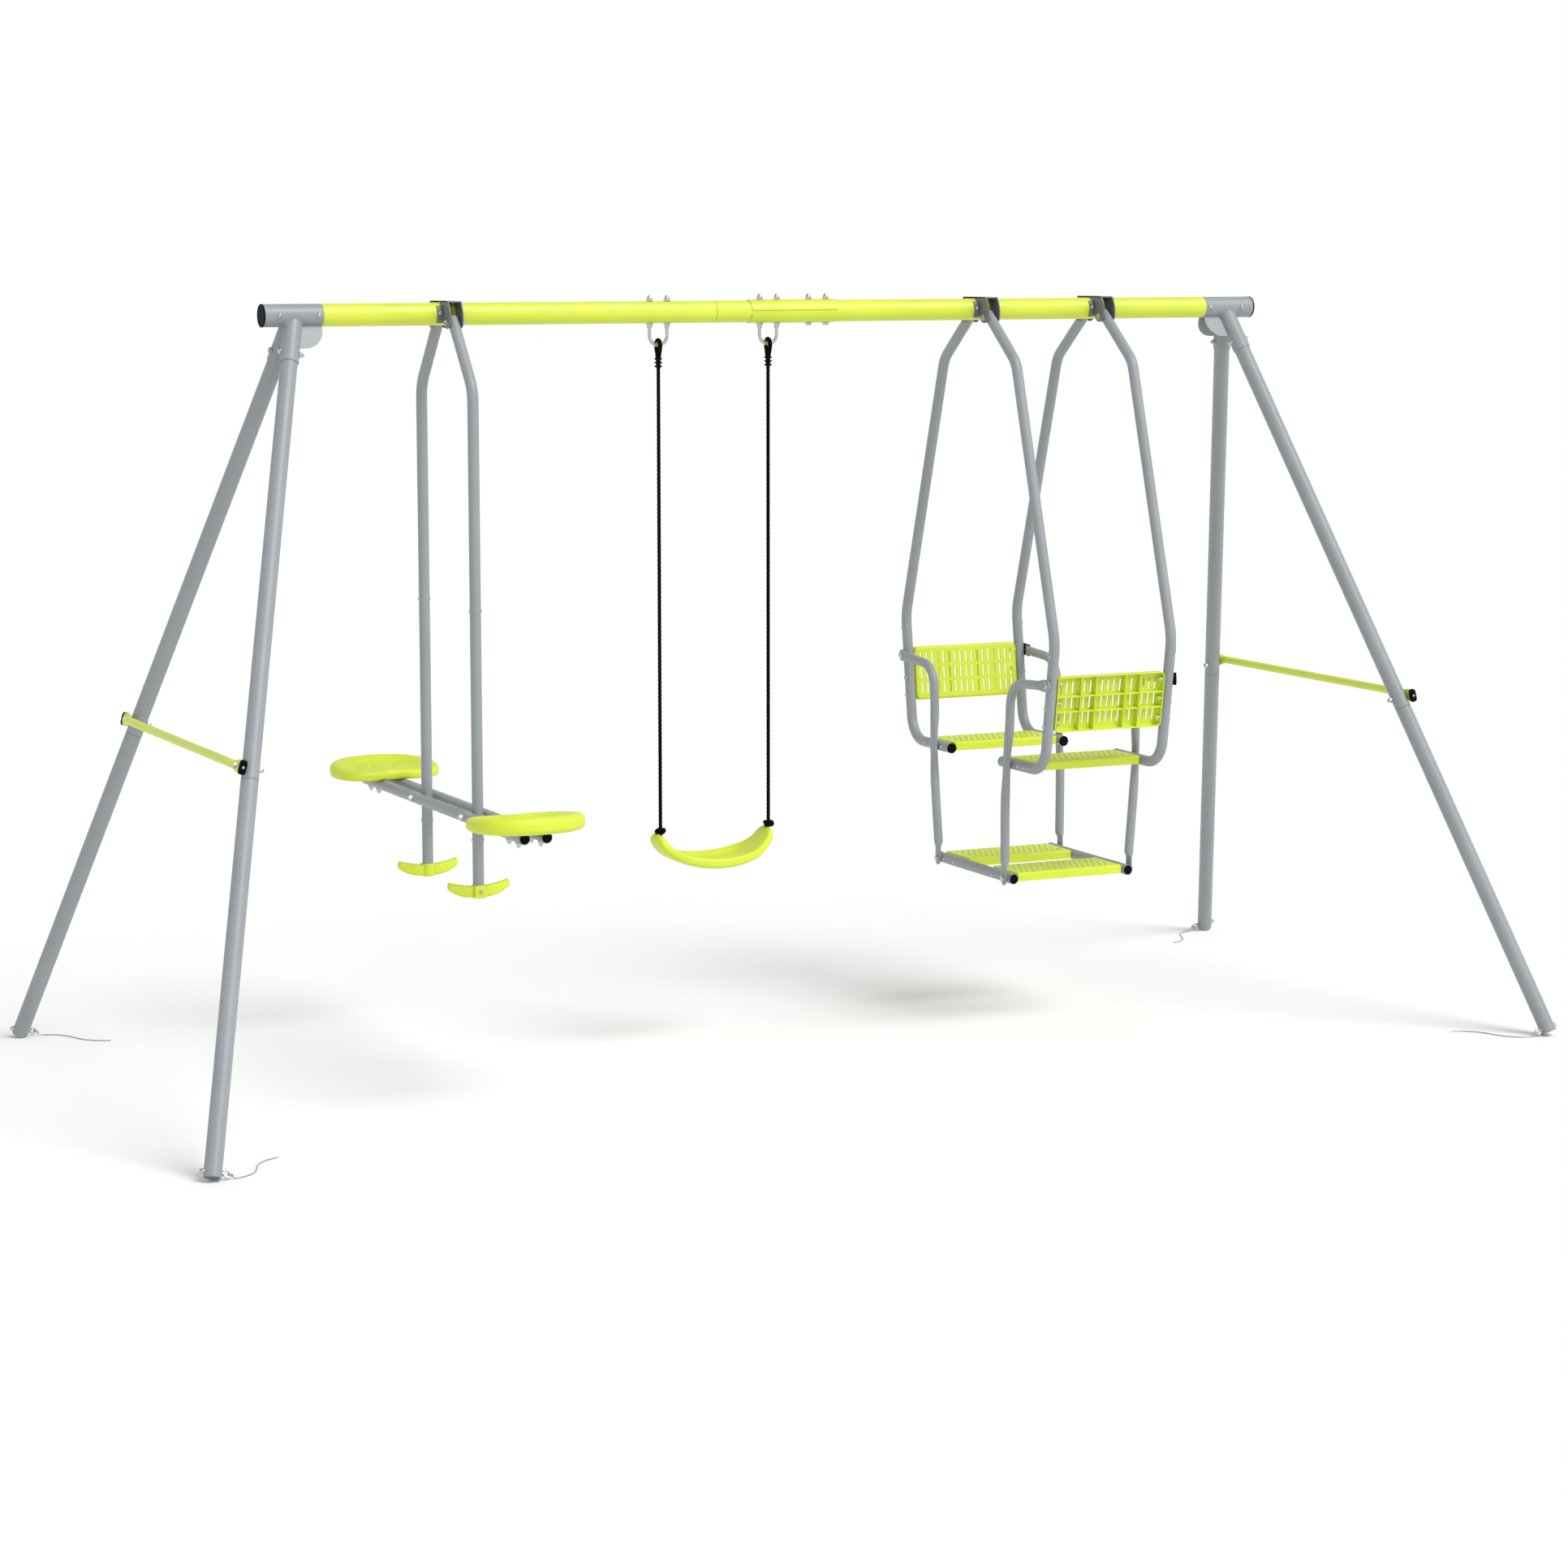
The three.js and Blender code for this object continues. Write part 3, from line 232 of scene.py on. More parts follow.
def oval_section(thick, wide, squareness=2.0, sides=48):
    """A superellipse: 2 is an ellipse, and more makes its sides flatter."""
    angles = whole_turn(sides)
    c, s = np.cos(angles), np.sin(angles)
    power = 2 / squareness
    return np.stack([np.sign(c) * abs(c) ** power * thick / 2, np.sign(s) * abs(s) ** power * wide / 2], 1)


def round_route(radius, first_axis, second_axis, angles):
    """Stations round a circle that starts on the first axis and turns towards the second."""
    stations = []
    for c, s in zip(np.cos(angles), np.sin(angles)):
        stations.append(((first_axis * c + second_axis * s) * radius, second_axis * c - first_axis * s))
    return stations


def shifted(station, distance):
    return station[0] + station[1] * distance, station[1]


def groove(route, index, distances, depth=0.0006, width=0.0012):
    """Stations and radius changes for shallow grooves at distances past route[index]."""
    cuts = []
    for distance in distances:
        for offset, change in ((-width, 0), (-width / 2, -depth), (width / 2, -depth), (width, 0)):
            cuts.append((shifted(route[index], distance + offset), change))
    return cuts


def bent_pipe(route, outer=TUBE_RADIUS, wall=TUBE_WALL, side=X_AXIS, sides=ROUND, seams=()):
    """A hollow tube with softly rounded ends. seams lists (station index, distance past it)."""
    first, last = route[0], route[-1]
    line = [(first, -RIM), (shifted(first, 0.3 * RIM), -0.3 * RIM), (shifted(first, RIM), 0)]
    for i, station in enumerate(route[:-1]):
        if i:
            line.append((station, 0))
        line += groove(route, i, [distance for index, distance in seams if index == i])
    line += [(shifted(last, -RIM), 0), (shifted(last, -0.3 * RIM), -0.3 * RIM), (last, -RIM)]
    outside = [section_ring(s, round_section(outer + change, sides), side) for s, change in line]
    inner = outer - wall
    inside = [section_ring(s, round_section(inner, sides), side) for s in route]
    inside[0] = section_ring(shifted(first, RIM), round_section(inner, sides), side)
    inside[-1] = section_ring(shifted(last, -RIM), round_section(inner, sides), side)
    lips = [section_ring(s, round_section(inner + RIM, sides), side) for s in (first, last)]
    return skin(outside + [lips[1]] + inside[::-1] + [lips[0]], loop=True)


def swept(route, section, side=X_AXIS, loop=False):
    return skin([section_ring(s, section, side) for s in route], loop)


def bezier(p0, p1, p2, p3, steps=12):
    """Points on a cubic curve, its last point left out."""
    t = np.linspace(0, 1, steps, endpoint=False)[:, None]
    a, b, c, d = (np.array(p, float) for p in (p0, p1, p2, p3))
    return a * (1 - t) ** 3 + 3 * b * t * (1 - t) ** 2 + 3 * c * t**2 * (1 - t) + d * t**3


def arc(centre, radius, start, end, steps):
    """Points on an arc from start to end, in degrees, both included."""
    angles = np.radians(np.linspace(start, end, steps + 1))
    return np.stack([centre[0] + radius * np.cos(angles), centre[1] + radius * np.sin(angles)], 1)


def smooth_step(value, low, high):
    t = np.clip((value - low) / (high - low), 0, 1)
    return t * t * (3 - 2 * t)


def inset(outline, distance):
    """The closed outline (counter-clockwise) moved inwards."""
    before = outline - np.roll(outline, 1, 0)
    after = np.roll(outline, -1, 0) - outline
    before = before / np.maximum(np.linalg.norm(before, axis=1, keepdims=True), 1e-9)
    after = after / np.maximum(np.linalg.norm(after, axis=1, keepdims=True), 1e-9)
    normal = np.stack([-(before + after)[:, 1], (before + after)[:, 0]], 1)
    length = np.maximum(np.linalg.norm(normal, axis=1, keepdims=True), 1e-9)
    mitre = distance / np.maximum(length / 2, 0.4)
    return outline + normal / length * mitre


def counter_clockwise(outline):
    outline = np.asarray(outline, float)
    x, y = outline[:, 0], outline[:, 1]
    area = np.sum(x * np.roll(y, -1) - y * np.roll(x, -1))
    return outline if area > 0 else outline[::-1]


def plate(outline, z0, z1, edge=0.0006):
    """A flat plate with rounded edges, its outline in X and Y."""
    outline = counter_clockwise(outline)
    steps = [(edge, 0), (0.3 * edge, 0.3 * edge), (0, edge)]
    levels = [(d, z0 + rise) for d, rise in steps] + [(d, z1 - rise) for d, rise in steps[::-1]]
    return skin([np.column_stack([inset(outline, d), np.full(len(outline), z)]) for d, z in levels])


ALONG_X, AGAINST_X = turn(90, "Y"), turn(-90, "Y")
YZ_TO_XY = Matrix(((0, 0, 1, 0), (1, 0, 0, 0), (0, 1, 0, 0), (0, 0, 0, 1)))


def plate_across_x(outline, x0, x1, edge=0.0006):
    """A plate whose outline is drawn in Y and Z."""
    return placed(plate(outline, x0, x1, edge), YZ_TO_XY)


def rounded_block(x0, x1, y0, y1, z0, z1, edge=0.0006):
    return plate([(x0, y0), (x1, y0), (x1, y1), (x0, y1)], z0, z1, edge)


# ------------------------------------------------------------------ fasteners, standing on z = 0


def pin(radius, z0, z1):
    return turned([(0, z0), (radius, z0), (radius, z1), (0, z1)])


def washer(radius=0.0075, thick=0.0014):
    hole, e = 0.0034, 0.0003
    return turned([(hole, 0), (radius - e, 0), (radius, e), (radius, thick - e), (radius - e, thick),
                   (hole, thick), (hole, 0)])


def button_screw(radius=0.0055, height=0.0034, socket=0.0042):
    """A domed head with a six-sided socket."""
    dome = ((1, 0), (1, 0.15), (0.93, 0.5), (0.75, 0.85), (0.55, 1))
    rings = [circle(radius * out, height * up, NUT_ROUND) for out, up in dome]
    return skin(rings + [polygon(socket, height), polygon(socket, 0.35 * height)])


def hex_rings(across, corner_z, cut_z):
    """Rings of a six-sided body whose upper corners are cut between two heights."""
    return [polygon(across, 0), polygon(across, corner_z), polygon(across * 0.97, cut_z, softness=0.9)]


def hex_head(across=0.011, height=0.0048):
    top = circle(across * 0.44, height, NUT_ROUND)
    return skin(hex_rings(across, height - 0.0007, height - 0.00021) + [top])


def acorn_nut(across=0.012, height=0.0125):
    base = 0.45 * height
    dome = [(0.43 * across * math.cos(a), base + (height - base) * math.sin(a))
            for a in np.radians((8, 22, 38, 54, 70, 82, 90))]
    return skin(hex_rings(across, base - 0.0007, base - 0.0001) + [circle(r, z, NUT_ROUND) for r, z in dome])


def on_washer(place, radius, top, thick=0.0014):
    """A washer at the place, with a bolt head or a nut standing on it."""
    return [placed(washer(radius, thick), place), placed(top, place, at(z=thick - 0.0001))]


def side_screw(side, x, y, z, radius=0.0045, height=0.003):
    """A button screw whose head points along +X or -X."""
    return placed(button_screw(radius, height), facing((side, 0, 0), (x, y, z)))


def tube_cap(side, x, y, z):
    """A moulded plug that closes a tube along Y, with a flange as wide as the tube."""
    r, bore = TUBE_RADIUS, TUBE_RADIUS - TUBE_WALL
    cap = turned([(0, -0.004), (bore, -0.004), (bore, 0.0002), (r, 0.0002), (r + 0.0002, 0.0012),
                  (r - 0.0008, 0.0024), (r - 0.0035, 0.0029), (0, 0.0031)], ROUND)
    return placed(cap, facing((0, side, 0), (x, y, z)))


# ------------------------------------------------------------------ materials


class Finish:
    """A small builder of node materials. Textures follow the object's own coordinates."""

    def __init__(self, name):
        self.material = bpy.data.materials.new(name)
        self.material.use_nodes = True
        self.tree = self.material.node_tree
        self.shader = self.tree.nodes["Principled BSDF"]
        self.place = self.tree.nodes.new("ShaderNodeTexCoord").outputs["Object"]

    def node(self, kind, settings=None, **inputs):
        node = self.tree.nodes.new(kind)
        for key, value in (settings or {}).items():
            setattr(node, key, value)
        for key, value in inputs.items():
            self.feed(node.inputs[key.replace("_", " ")], value)
        return node

    def feed(self, socket, value):
        if isinstance(value, bpy.types.NodeSocket):
            self.tree.links.new(value, socket)
        else:
            socket.default_value = value

    def set(self, **inputs):
        for key, value in inputs.items():
            self.feed(self.shader.inputs[key.replace("_", " ")], value)

    def stretched(self, scale):
        return self.node("ShaderNodeMapping", Vector=self.place, Scale=scale).outputs["Vector"]

    def noise(self, scale, detail=3.0, roughness=0.5, place=None):
        node = self.node("ShaderNodeTexNoise", Vector=place or self.place, Scale=scale, Detail=detail,
                         Roughness=roughness)
        return node.outputs["Fac"]

    def between(self, value, low, high):
        """The value, about 0.3 to 0.7 in a noise, spread from low to high."""
        node = self.node("ShaderNodeMapRange", Value=value)
        for key, number in (("From Min", 0.3), ("From Max", 0.7), ("To Min", low), ("To Max", high)):
            node.inputs[key].default_value = number
        return node.outputs["Result"]

    def mixed(self, factor, first, second):
        node = self.node("ShaderNodeMix", {"data_type": "RGBA"})
        self.feed(node.inputs["Factor"], factor)
        self.feed(node.inputs["A"], first)
        self.feed(node.inputs["B"], second)
        return node.outputs["Result"]

    def bump(self, height, strength, distance, normal=None):
        node = self.node("ShaderNodeBump", Height=height, Strength=strength, Distance=distance)
        if normal:
            self.tree.links.new(normal, node.inputs["Normal"])
        return node.outputs["Normal"]


def colour(red, green, blue):
    """Linear colour of 0-255 screen values."""
    def linear(value):
        value = value / 255
        return value / 12.92 if value <= 0.04045 else ((value + 0.055) / 1.055) ** 2.4
    return (linear(red), linear(green), linear(blue), 1)


def tinted(base, factor):
    return tuple(channel * factor for channel in base[:3]) + (1,)


def powder_coat(name, base, roughness, coat):
    """Sprayed and baked paint on steel: orange peel, faint clouding and a soft gloss."""
    f = Finish(name)
    cloud = f.noise(7.0, 4.0)
    fleck = f.noise(420.0, 2.0)
    tone = f.mixed(f.between(cloud, 0.0, 1.0), tinted(base, 0.94), tinted(base, 1.03))
    tone = f.mixed(f.between(fleck, 0.0, 0.06), tone, tinted(base, 0.6))
    peel = f.bump(f.noise(650.0, 2.0), 0.16, 0.0003)
    dust = f.bump(f.noise(2600.0, 1.0), 0.05, 0.0001, peel)
    f.set(Base_Color=tone, Roughness=f.between(cloud, roughness - 0.05, roughness + 0.06), Normal=dust,
          Coat_Weight=coat, Coat_Roughness=0.22, IOR=1.5)
    return f.material


def moulded_plastic(name, base, roughness, grain, shine):
    """Injection or blow moulded plastic: fine spark-eroded grain, faint flow marks."""
    f = Finish(name)
    flow = f.noise(5.0, 5.0, 0.6, f.stretched((1.0, 0.35, 1.0)))
    cells = f.node("ShaderNodeTexVoronoi", Vector=f.place, Scale=grain).outputs["Distance"]
    tone = f.mixed(f.between(flow, 0.0, 1.0), tinted(base, 0.95), tinted(base, 1.03))
    leather = f.bump(cells, 0.10, 0.0002)
    fine = f.bump(f.noise(2.4 * grain, 2.0), 0.12, 0.0002, leather)
    f.set(Base_Color=tone, Roughness=f.between(flow, roughness - 0.05, roughness + 0.06), Normal=fine,
          IOR=1.46, Specular_IOR_Level=shine)
    return f.material


def zinc_plate(name, base, roughness):
    """Bright zinc plating: soft blotches in colour and gloss, and fine turning marks."""
    f = Finish(name)
    blotch = f.noise(160.0, 4.0, 0.6)
    tone = f.mixed(f.between(blotch, 0.0, 1.0), tinted(base, 0.82), tinted(base, 1.05))
    marks = f.noise(1400.0, 2.0, 0.5, f.stretched((1.0, 1.0, 4.0)))
    f.set(Base_Color=tone, Metallic=1.0, Roughness=f.between(blotch, roughness - 0.07, roughness + 0.1),
          Normal=f.bump(marks, 0.08, 0.0001))
    return f.material


def fibre(name, base, roughness):
    """Black cord fibre: dull, with a fine thread pattern whose lighter streaks are partly the threads' own
    tone and partly painted sheen, light that the threads catch.
    """
    f = Finish(name)
    thread_grain_and_sheen = f.noise(1500.0, 3.0, 0.6, f.stretched((1.0, 1.0, 0.3)))
    # painted sheen: the thread pattern lifts the colour up to 1.8 times the base, standing in for light
    # caught by the threads as well as their tone
    tone = f.mixed(f.between(thread_grain_and_sheen, 0.0, 1.0), tinted(base, 0.6), tinted(base, 1.8))
    f.set(Base_Color=tone, Roughness=roughness, Normal=f.bump(thread_grain_and_sheen, 0.5, 0.0004),
          Specular_IOR_Level=0.06)
    return f.material


FINISHES = {
    "lime_paint": powder_coat("lime_powder_coat", colour(206, 219, 60), 0.44, 0.12),
    "grey_paint": powder_coat("grey_powder_coat", colour(141, 147, 150), 0.46, 0.08),
    "bracket_paint": powder_coat("dark_grey_powder_coat", colour(102, 106, 109), 0.44, 0.1),
    "lime_plastic": moulded_plastic("lime_moulded_plastic", colour(202, 217, 54), 0.42, 900.0, 0.5),
    "black_plastic": moulded_plastic("black_moulded_plastic", colour(8, 8, 8), 0.55, 1100.0, 0.07),
    "zinc": zinc_plate("bright_zinc", colour(196, 196, 195), 0.28),
    "steel_cable": zinc_plate("cable_steel", colour(186, 186, 184), 0.36),
    "rope": fibre("black_rope", colour(7, 7, 7), 0.9),
}

# ------------------------------------------------------------------ pieces


def piece(name, body, slot, forms, nodes=(), place=Matrix(), crease=32):
    """Makes one object of the forms, riding on the body and shown instead of the CAD nodes."""
    points, faces, start = [], [], 0
    for form in forms:
        form_points, form_faces = placed(form, place)
        points.append(form_points)
        faces += [tuple(start + i for i in face) for face in form_faces]
        start += len(form_points)
    mesh = bpy.data.meshes.new(name)
    mesh.from_pydata(np.concatenate(points).tolist(), [], faces)
    bm = bmesh.new()
    bm.from_mesh(mesh)
    bmesh.ops.remove_doubles(bm, verts=bm.verts, dist=2e-6)
    bmesh.ops.recalc_face_normals(bm, faces=bm.faces)
    bm.to_mesh(mesh)
    bm.free()
    mesh.shade_smooth()
    mesh.set_sharp_from_angle(angle=math.radians(crease))
    mesh.materials.append(FINISHES[slot])
    made = bpy.data.objects.new(name, mesh)
    bpy.context.scene.collection.objects.link(made)
    weighted = made.modifiers.new("even shading", "WEIGHTED_NORMAL")
    weighted.keep_sharp = True
    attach(made, body)
    if nodes:
        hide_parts(*nodes)
    return made


# ------------------------------------------------------------------ A-frame ends

ENDS = {"right": 0, "left": 180}
SIDES = {"front": -1, "back": 1}
LEG_LENGTH = Vector((FOOT_X - LEG_TOP_X, FOOT_Y, FOOT_RISE - BEAM_Z)).length


def end_place(end):
    """From the frame of the right-hand end, about the beam's middle, to this end."""
    return turn(ENDS[end], "Z")


def leg_place(side):
    """Right-hand end: Z runs down the leg from the beam's axis, X points outwards."""
    down = Vector((FOOT_X - LEG_TOP_X, side * FOOT_Y, FOOT_RISE - BEAM_Z)).normalized()
    across = down.cross(X_AXIS).normalized()
    basis = Matrix((across.cross(down), across, down)).transposed().to_4x4()
    return at(LEG_TOP_X, 0, BEAM_Z) @ basis


def leg_matrix(end, where):
    """The leg's frame in the row frame. The left-hand end is the right-hand one turned round."""
    side = SIDES[where] * (1 if end == "right" else -1)
    return end_place(end) @ leg_place(side)


# ------------------------------------------------------------------ ground-anchor cables

# The cables come before the other pieces. Their points are those of the CAD route, from the eye
# bolt's ring: inwards, towards the middle of the depth, and the height.
CABLE_LIE = CABLE_DIAMETER / 2 + 0.0002
CABLE_REACH = [(-0.0108, 0, 0.0106), (-0.0124, 0.0003, 0.0066), (-0.016, 0.0011, 0.0031)]
CABLE_REACH += [(x, y, CABLE_LIE) for x, y in (
    (-0.022, 0.0026), (-0.033, 0.0062), (-0.045, 0.0118), (-0.056, 0.0194), (-0.0656, 0.029),
    (-0.0734, 0.0402), (-0.0796, 0.0526), (-0.0846, 0.0656), (-0.0894, 0.0786), (-0.095, 0.0912),
    (-0.1022, 0.1028), (-0.1112, 0.1132), (-0.1218, 0.122), (-0.1336, 0.129), (-0.1464, 0.1344),
    (-0.1534, 0.1369),
)]


def smooth_line(points, steps):
    """A centripetal Catmull-Rom curve through the points, with even steps between them."""
    p = [np.array(q, float) for q in points]
    p = [2 * p[0] - p[1]] + p + [2 * p[-1] - p[-2]]
    line = []
    for a, b, c, d in zip(p, p[1:], p[2:], p[3:]):
        spans = [max(np.linalg.norm(v - u), 1e-9) ** 0.5 for u, v in ((a, b), (b, c), (c, d))]
        knots = np.cumsum([0] + spans)
        for t in np.linspace(knots[1], knots[2], steps, endpoint=False):
            def blend(u, v, i, j):
                return ((knots[j] - t) * u + (t - knots[i]) * v) / (knots[j] - knots[i])
            ab, bc, cd = blend(a, b, 0, 1), blend(b, c, 1, 2), blend(c, d, 2, 3)
            line.append(blend(blend(ab, bc, 0, 2), blend(bc, cd, 1, 3), 1, 2))
    return line + [p[-2]]


def carried_route(line):
    """Stations with a side direction that turns as little as possible along the line."""
    points = [Vector(p) for p in line]
    ends = [points[0]] + points + [points[-1]]
    tangents = [(after - before).normalized() for before, after in zip(ends, ends[2:])]
    side = tangents[0].orthogonal().normalized()
    stations = []
    for point, tangent in zip(points, tangents):
        side = (side - tangent * side.dot(tangent)).normalized()
        stations.append(((point, tangent), side.copy()))
    return stations


def laid_rope(line, radius, strands, lay, depth):
    """A rope of twisted strands along a line: its section is lobed and turns once in each lay."""
    rings = []
    travelled = 0.0
    before = Vector(line[0])
    angles = whole_turn(24)
    for station, side in carried_route(line):
        travelled += (station[0] - before).length
        before = station[0]
        lobes = 1 - depth * (1 - abs(np.cos((angles - TAU * travelled / lay) * strands / 2)))
        section = np.stack([radius * lobes * np.cos(angles), radius * lobes * np.sin(angles)], 1)
        rings.append(section_ring(station, section, side))
    return skin(rings)


def anchor_cable(end, where):
    """A thin cable from a foot's eye bolt, with the small loop and crimp that hold it there."""
    ring_wire = leg_matrix(end, where) @ at(-EYE_REACH - EYE_RADIUS, 0, LEG_LENGTH - ANCHOR_BACKSET)
    eye = leg_matrix(end, where) @ Vector((-EYE_REACH, 0, LEG_LENGTH - ANCHOR_BACKSET))
    across = math.copysign(1, eye.x)
    deep = math.copysign(1, eye.y)
    route = [(eye.x + across * x, eye.y - deep * y, z) for x, y, z in CABLE_REACH]
    line = smooth_line(route, 24)
    name = f"{end}_{where}"
    cable = piece(f"anchor_wire_{name}", "frame", "steel_cable",
                  [laid_rope(line, CABLE_DIAMETER / 2, 6, 0.016, 0.16)], [f"anchor_cable_{name}"], crease=60)
    crimp = turned([(0, -0.001), (0.0022, -0.001), (0.0026, -0.0004), (0.0026, 0.0046),
                    (0.0022, 0.0052), (0, 0.0052)])
    crimp = placed(crimp, facing(Vector(route[1]) - Vector(route[0]), route[0]))
    loop = swept(round_route(0.0041, X_AXIS, Y_AXIS, whole_turn(32)), round_section(CABLE_DIAMETER / 2, 20),
                 Z_AXIS, loop=True)
    noose = piece(f"anchor_noose_{name}", "frame", "steel_cable", [placed(loop, ring_wire), crimp], crease=40)


for end in ENDS:
    for where in SIDES:
        anchor_cable(end, where)

# ------------------------------------------------------------------ brackets, legs and braces


def weld_bead(side, socket_radius):
    """The bead where a socket meets the sleeve, in the right-hand end's frame."""
    outward, across, down = leg_place(side).to_3x3().col
    a = down.y**2 + down.z**2
    line = []
    for angle in whole_turn(96):
        off = outward * (socket_radius * math.cos(angle)) + across * (socket_radius * math.sin(angle))
        b = 2 * (off.y * down.y + off.z * down.z)
        c = off.y**2 + off.z**2 - BEAM_RADIUS**2
        reach = (-b + math.sqrt(max(b * b - 4 * a * c, 0))) / (2 * a)
        line.append((off + down * reach + Vector((LEG_TOP_X, 0, BEAM_Z)), off.normalized()))
    rings = []
    for i, (point, radial) in enumerate(line):
        tangent = (line[(i + 1) % len(line)][0] - line[i - 1][0]).normalized()
        radius = 0.0024 * (1 + 0.1 * math.sin(24 * TAU * i / len(line)))
        rings.append(section_ring((point, tangent), round_section(radius, 10), radial))
    return skin(rings, loop=True)


def gusset(side):
    """The web plate between a socket and the sleeve, square to the beam's side."""
    corners = [(-0.010, 0.015), (0.061, 0.015), (0.061, 0.034)]
    curve = bezier((0.061, 0.034), (0.061, 0.058), (0.042, 0.078), (0.018, 0.078), 16)[1:]
    outline = np.concatenate([corners, curve, [(0.018, 0.078), (-0.012, 0.078)]])
    down = leg_place(side).to_3x3().col[2].copy()
    down.x = 0
    down.normalize()
    basis = Matrix((-X_AXIS, down, (-X_AXIS).cross(down))).transposed().to_4x4()
    return placed(plate(outline, -PLATE / 2, PLATE / 2), at(LEG_TOP_X, 0, BEAM_Z), basis)


def leg_bracket(end):
    """A sleeve on the beam's end with a socket for each leg."""
    radius, bore = LEG_RADIUS + 0.0022, LEG_RADIUS + 0.0005
    socket = turned([(0, 0.012), (radius, 0.012), (radius, SOCKET_END - 0.001),
                     (radius - 0.0003, SOCKET_END - 0.0003), (radius - 0.001, SOCKET_END),
                     (bore + 0.0004, SOCKET_END), (bore, SOCKET_END - 0.0006), (bore, 0.046),
                     (0, 0.046)], ROUND)
    sleeve = straight_pipe(BEAM_RADIUS, BEAM_WALL, BRACKET_INNER_X, BRACKET_OUTER_X)
    forms = [placed(sleeve, at(z=BEAM_Z), ALONG_X)]
    screws = []
    for side in SIDES.values():
        leg = leg_place(side)
        forms += [placed(socket, leg), weld_bead(side, radius), gusset(side)]
        face = radius - 0.0002
        screws += on_washer(leg @ at(face, 0, SOCKET_BOLT) @ ALONG_X, 0.0075, hex_head())
        screws += on_washer(leg @ at(-face, 0, SOCKET_BOLT) @ AGAINST_X, 0.0075, acorn_nut(0.0105, 0.0105))
        for x in (BRACKET_INNER_X + 0.011, BRACKET_OUTER_X - 0.033):
            point = (x, side * (BEAM_RADIUS - 0.0003), BEAM_Z)
            screws.append(placed(button_screw(), facing((0, side, 0), point)))
    place = end_place(end)
    piece(f"bracket_{end}", "frame", "grey_paint", forms, [f"leg_bracket_{end}"], place)
    piece(f"bracket_screws_{end}", "frame", "zinc", screws, place=place)


def beam_cap(end):
    r, bore = BEAM_RADIUS, BEAM_RADIUS - BEAM_WALL - GAP
    cap = turned([(0, -0.012), (bore, -0.012), (bore, GAP), (r - 0.0002, GAP),
                  (r + 0.0005, 0.0007), (r + 0.0005, 0.0029), (r - 0.0003, 0.0037), (r - 0.0024, 0.0037),
                  (r - 0.0034, 0.0028), (r - 0.0060, 0.0026), (0.006, 0.0029), (0, 0.0029)], ROUND)
    place = end_place(end) @ at(BRACKET_OUTER_X, 0, BEAM_Z) @ ALONG_X
    piece(f"cap_{end}", "frame", "black_plastic", [cap], [f"beam_cap_{end}"], place)


def legs(end, where):
    """The upper tube, and the lower tube with the spigot that joins them."""
    leg = leg_matrix(end, where)
    upper = straight_pipe(LEG_RADIUS, LEG_WALL, LEG_START, LEG_SEAM)
    r, e = LEG_RADIUS, RIM
    spigot = r - LEG_WALL - GAP
    start, foot = LEG_SEAM + 2 * GAP, LEG_LENGTH
    lower = turned([(0, LEG_SEAM - 0.06), (spigot, LEG_SEAM - 0.06), (spigot, start), (r - e, start),
                    (r - 0.3 * e, start + 0.3 * e), (r, start + e), (r, foot - 0.0012),
                    (r - 0.0003, foot - 0.0004), (r - 0.0012, foot), (r - 0.0030, foot),
                    (r - 0.0036, foot - 0.0012), (0, foot - 0.0012)], ROUND)
    name = f"{end}_{where}"
    piece(f"leg_top_{name}", "frame", "grey_paint", [upper], [f"upper_leg_{name}"], leg)
    piece(f"leg_foot_{name}", "frame", "grey_paint", [lower], [f"lower_leg_{name}"], leg)


def anchor_bolt(end, where):
    """An eye bolt through the foot of a leg, with its eye on the inside."""
    ring = round_route(EYE_RADIUS, X_AXIS, Z_AXIS, whole_turn(40))
    eye = swept(ring, round_section(EYE_WIRE, 20), Y_AXIS, loop=True)
    forms = [placed(eye, at(-EYE_REACH)), placed(pin(0.003, -0.0235, LEG_RADIUS + 0.003), ALONG_X)]
    forms.append(placed(washer(0.006), at(-LEG_RADIUS + 0.0004) @ AGAINST_X))
    forms += on_washer(at(LEG_RADIUS - 0.0004) @ ALONG_X, 0.007, acorn_nut(0.0105, 0.0092))
    place = leg_matrix(end, where) @ at(z=LEG_LENGTH - ANCHOR_BACKSET)
    piece(f"eye_bolt_{end}_{where}", "frame", "zinc", forms, [f"anchor_bolt_{end}_{where}"], place)


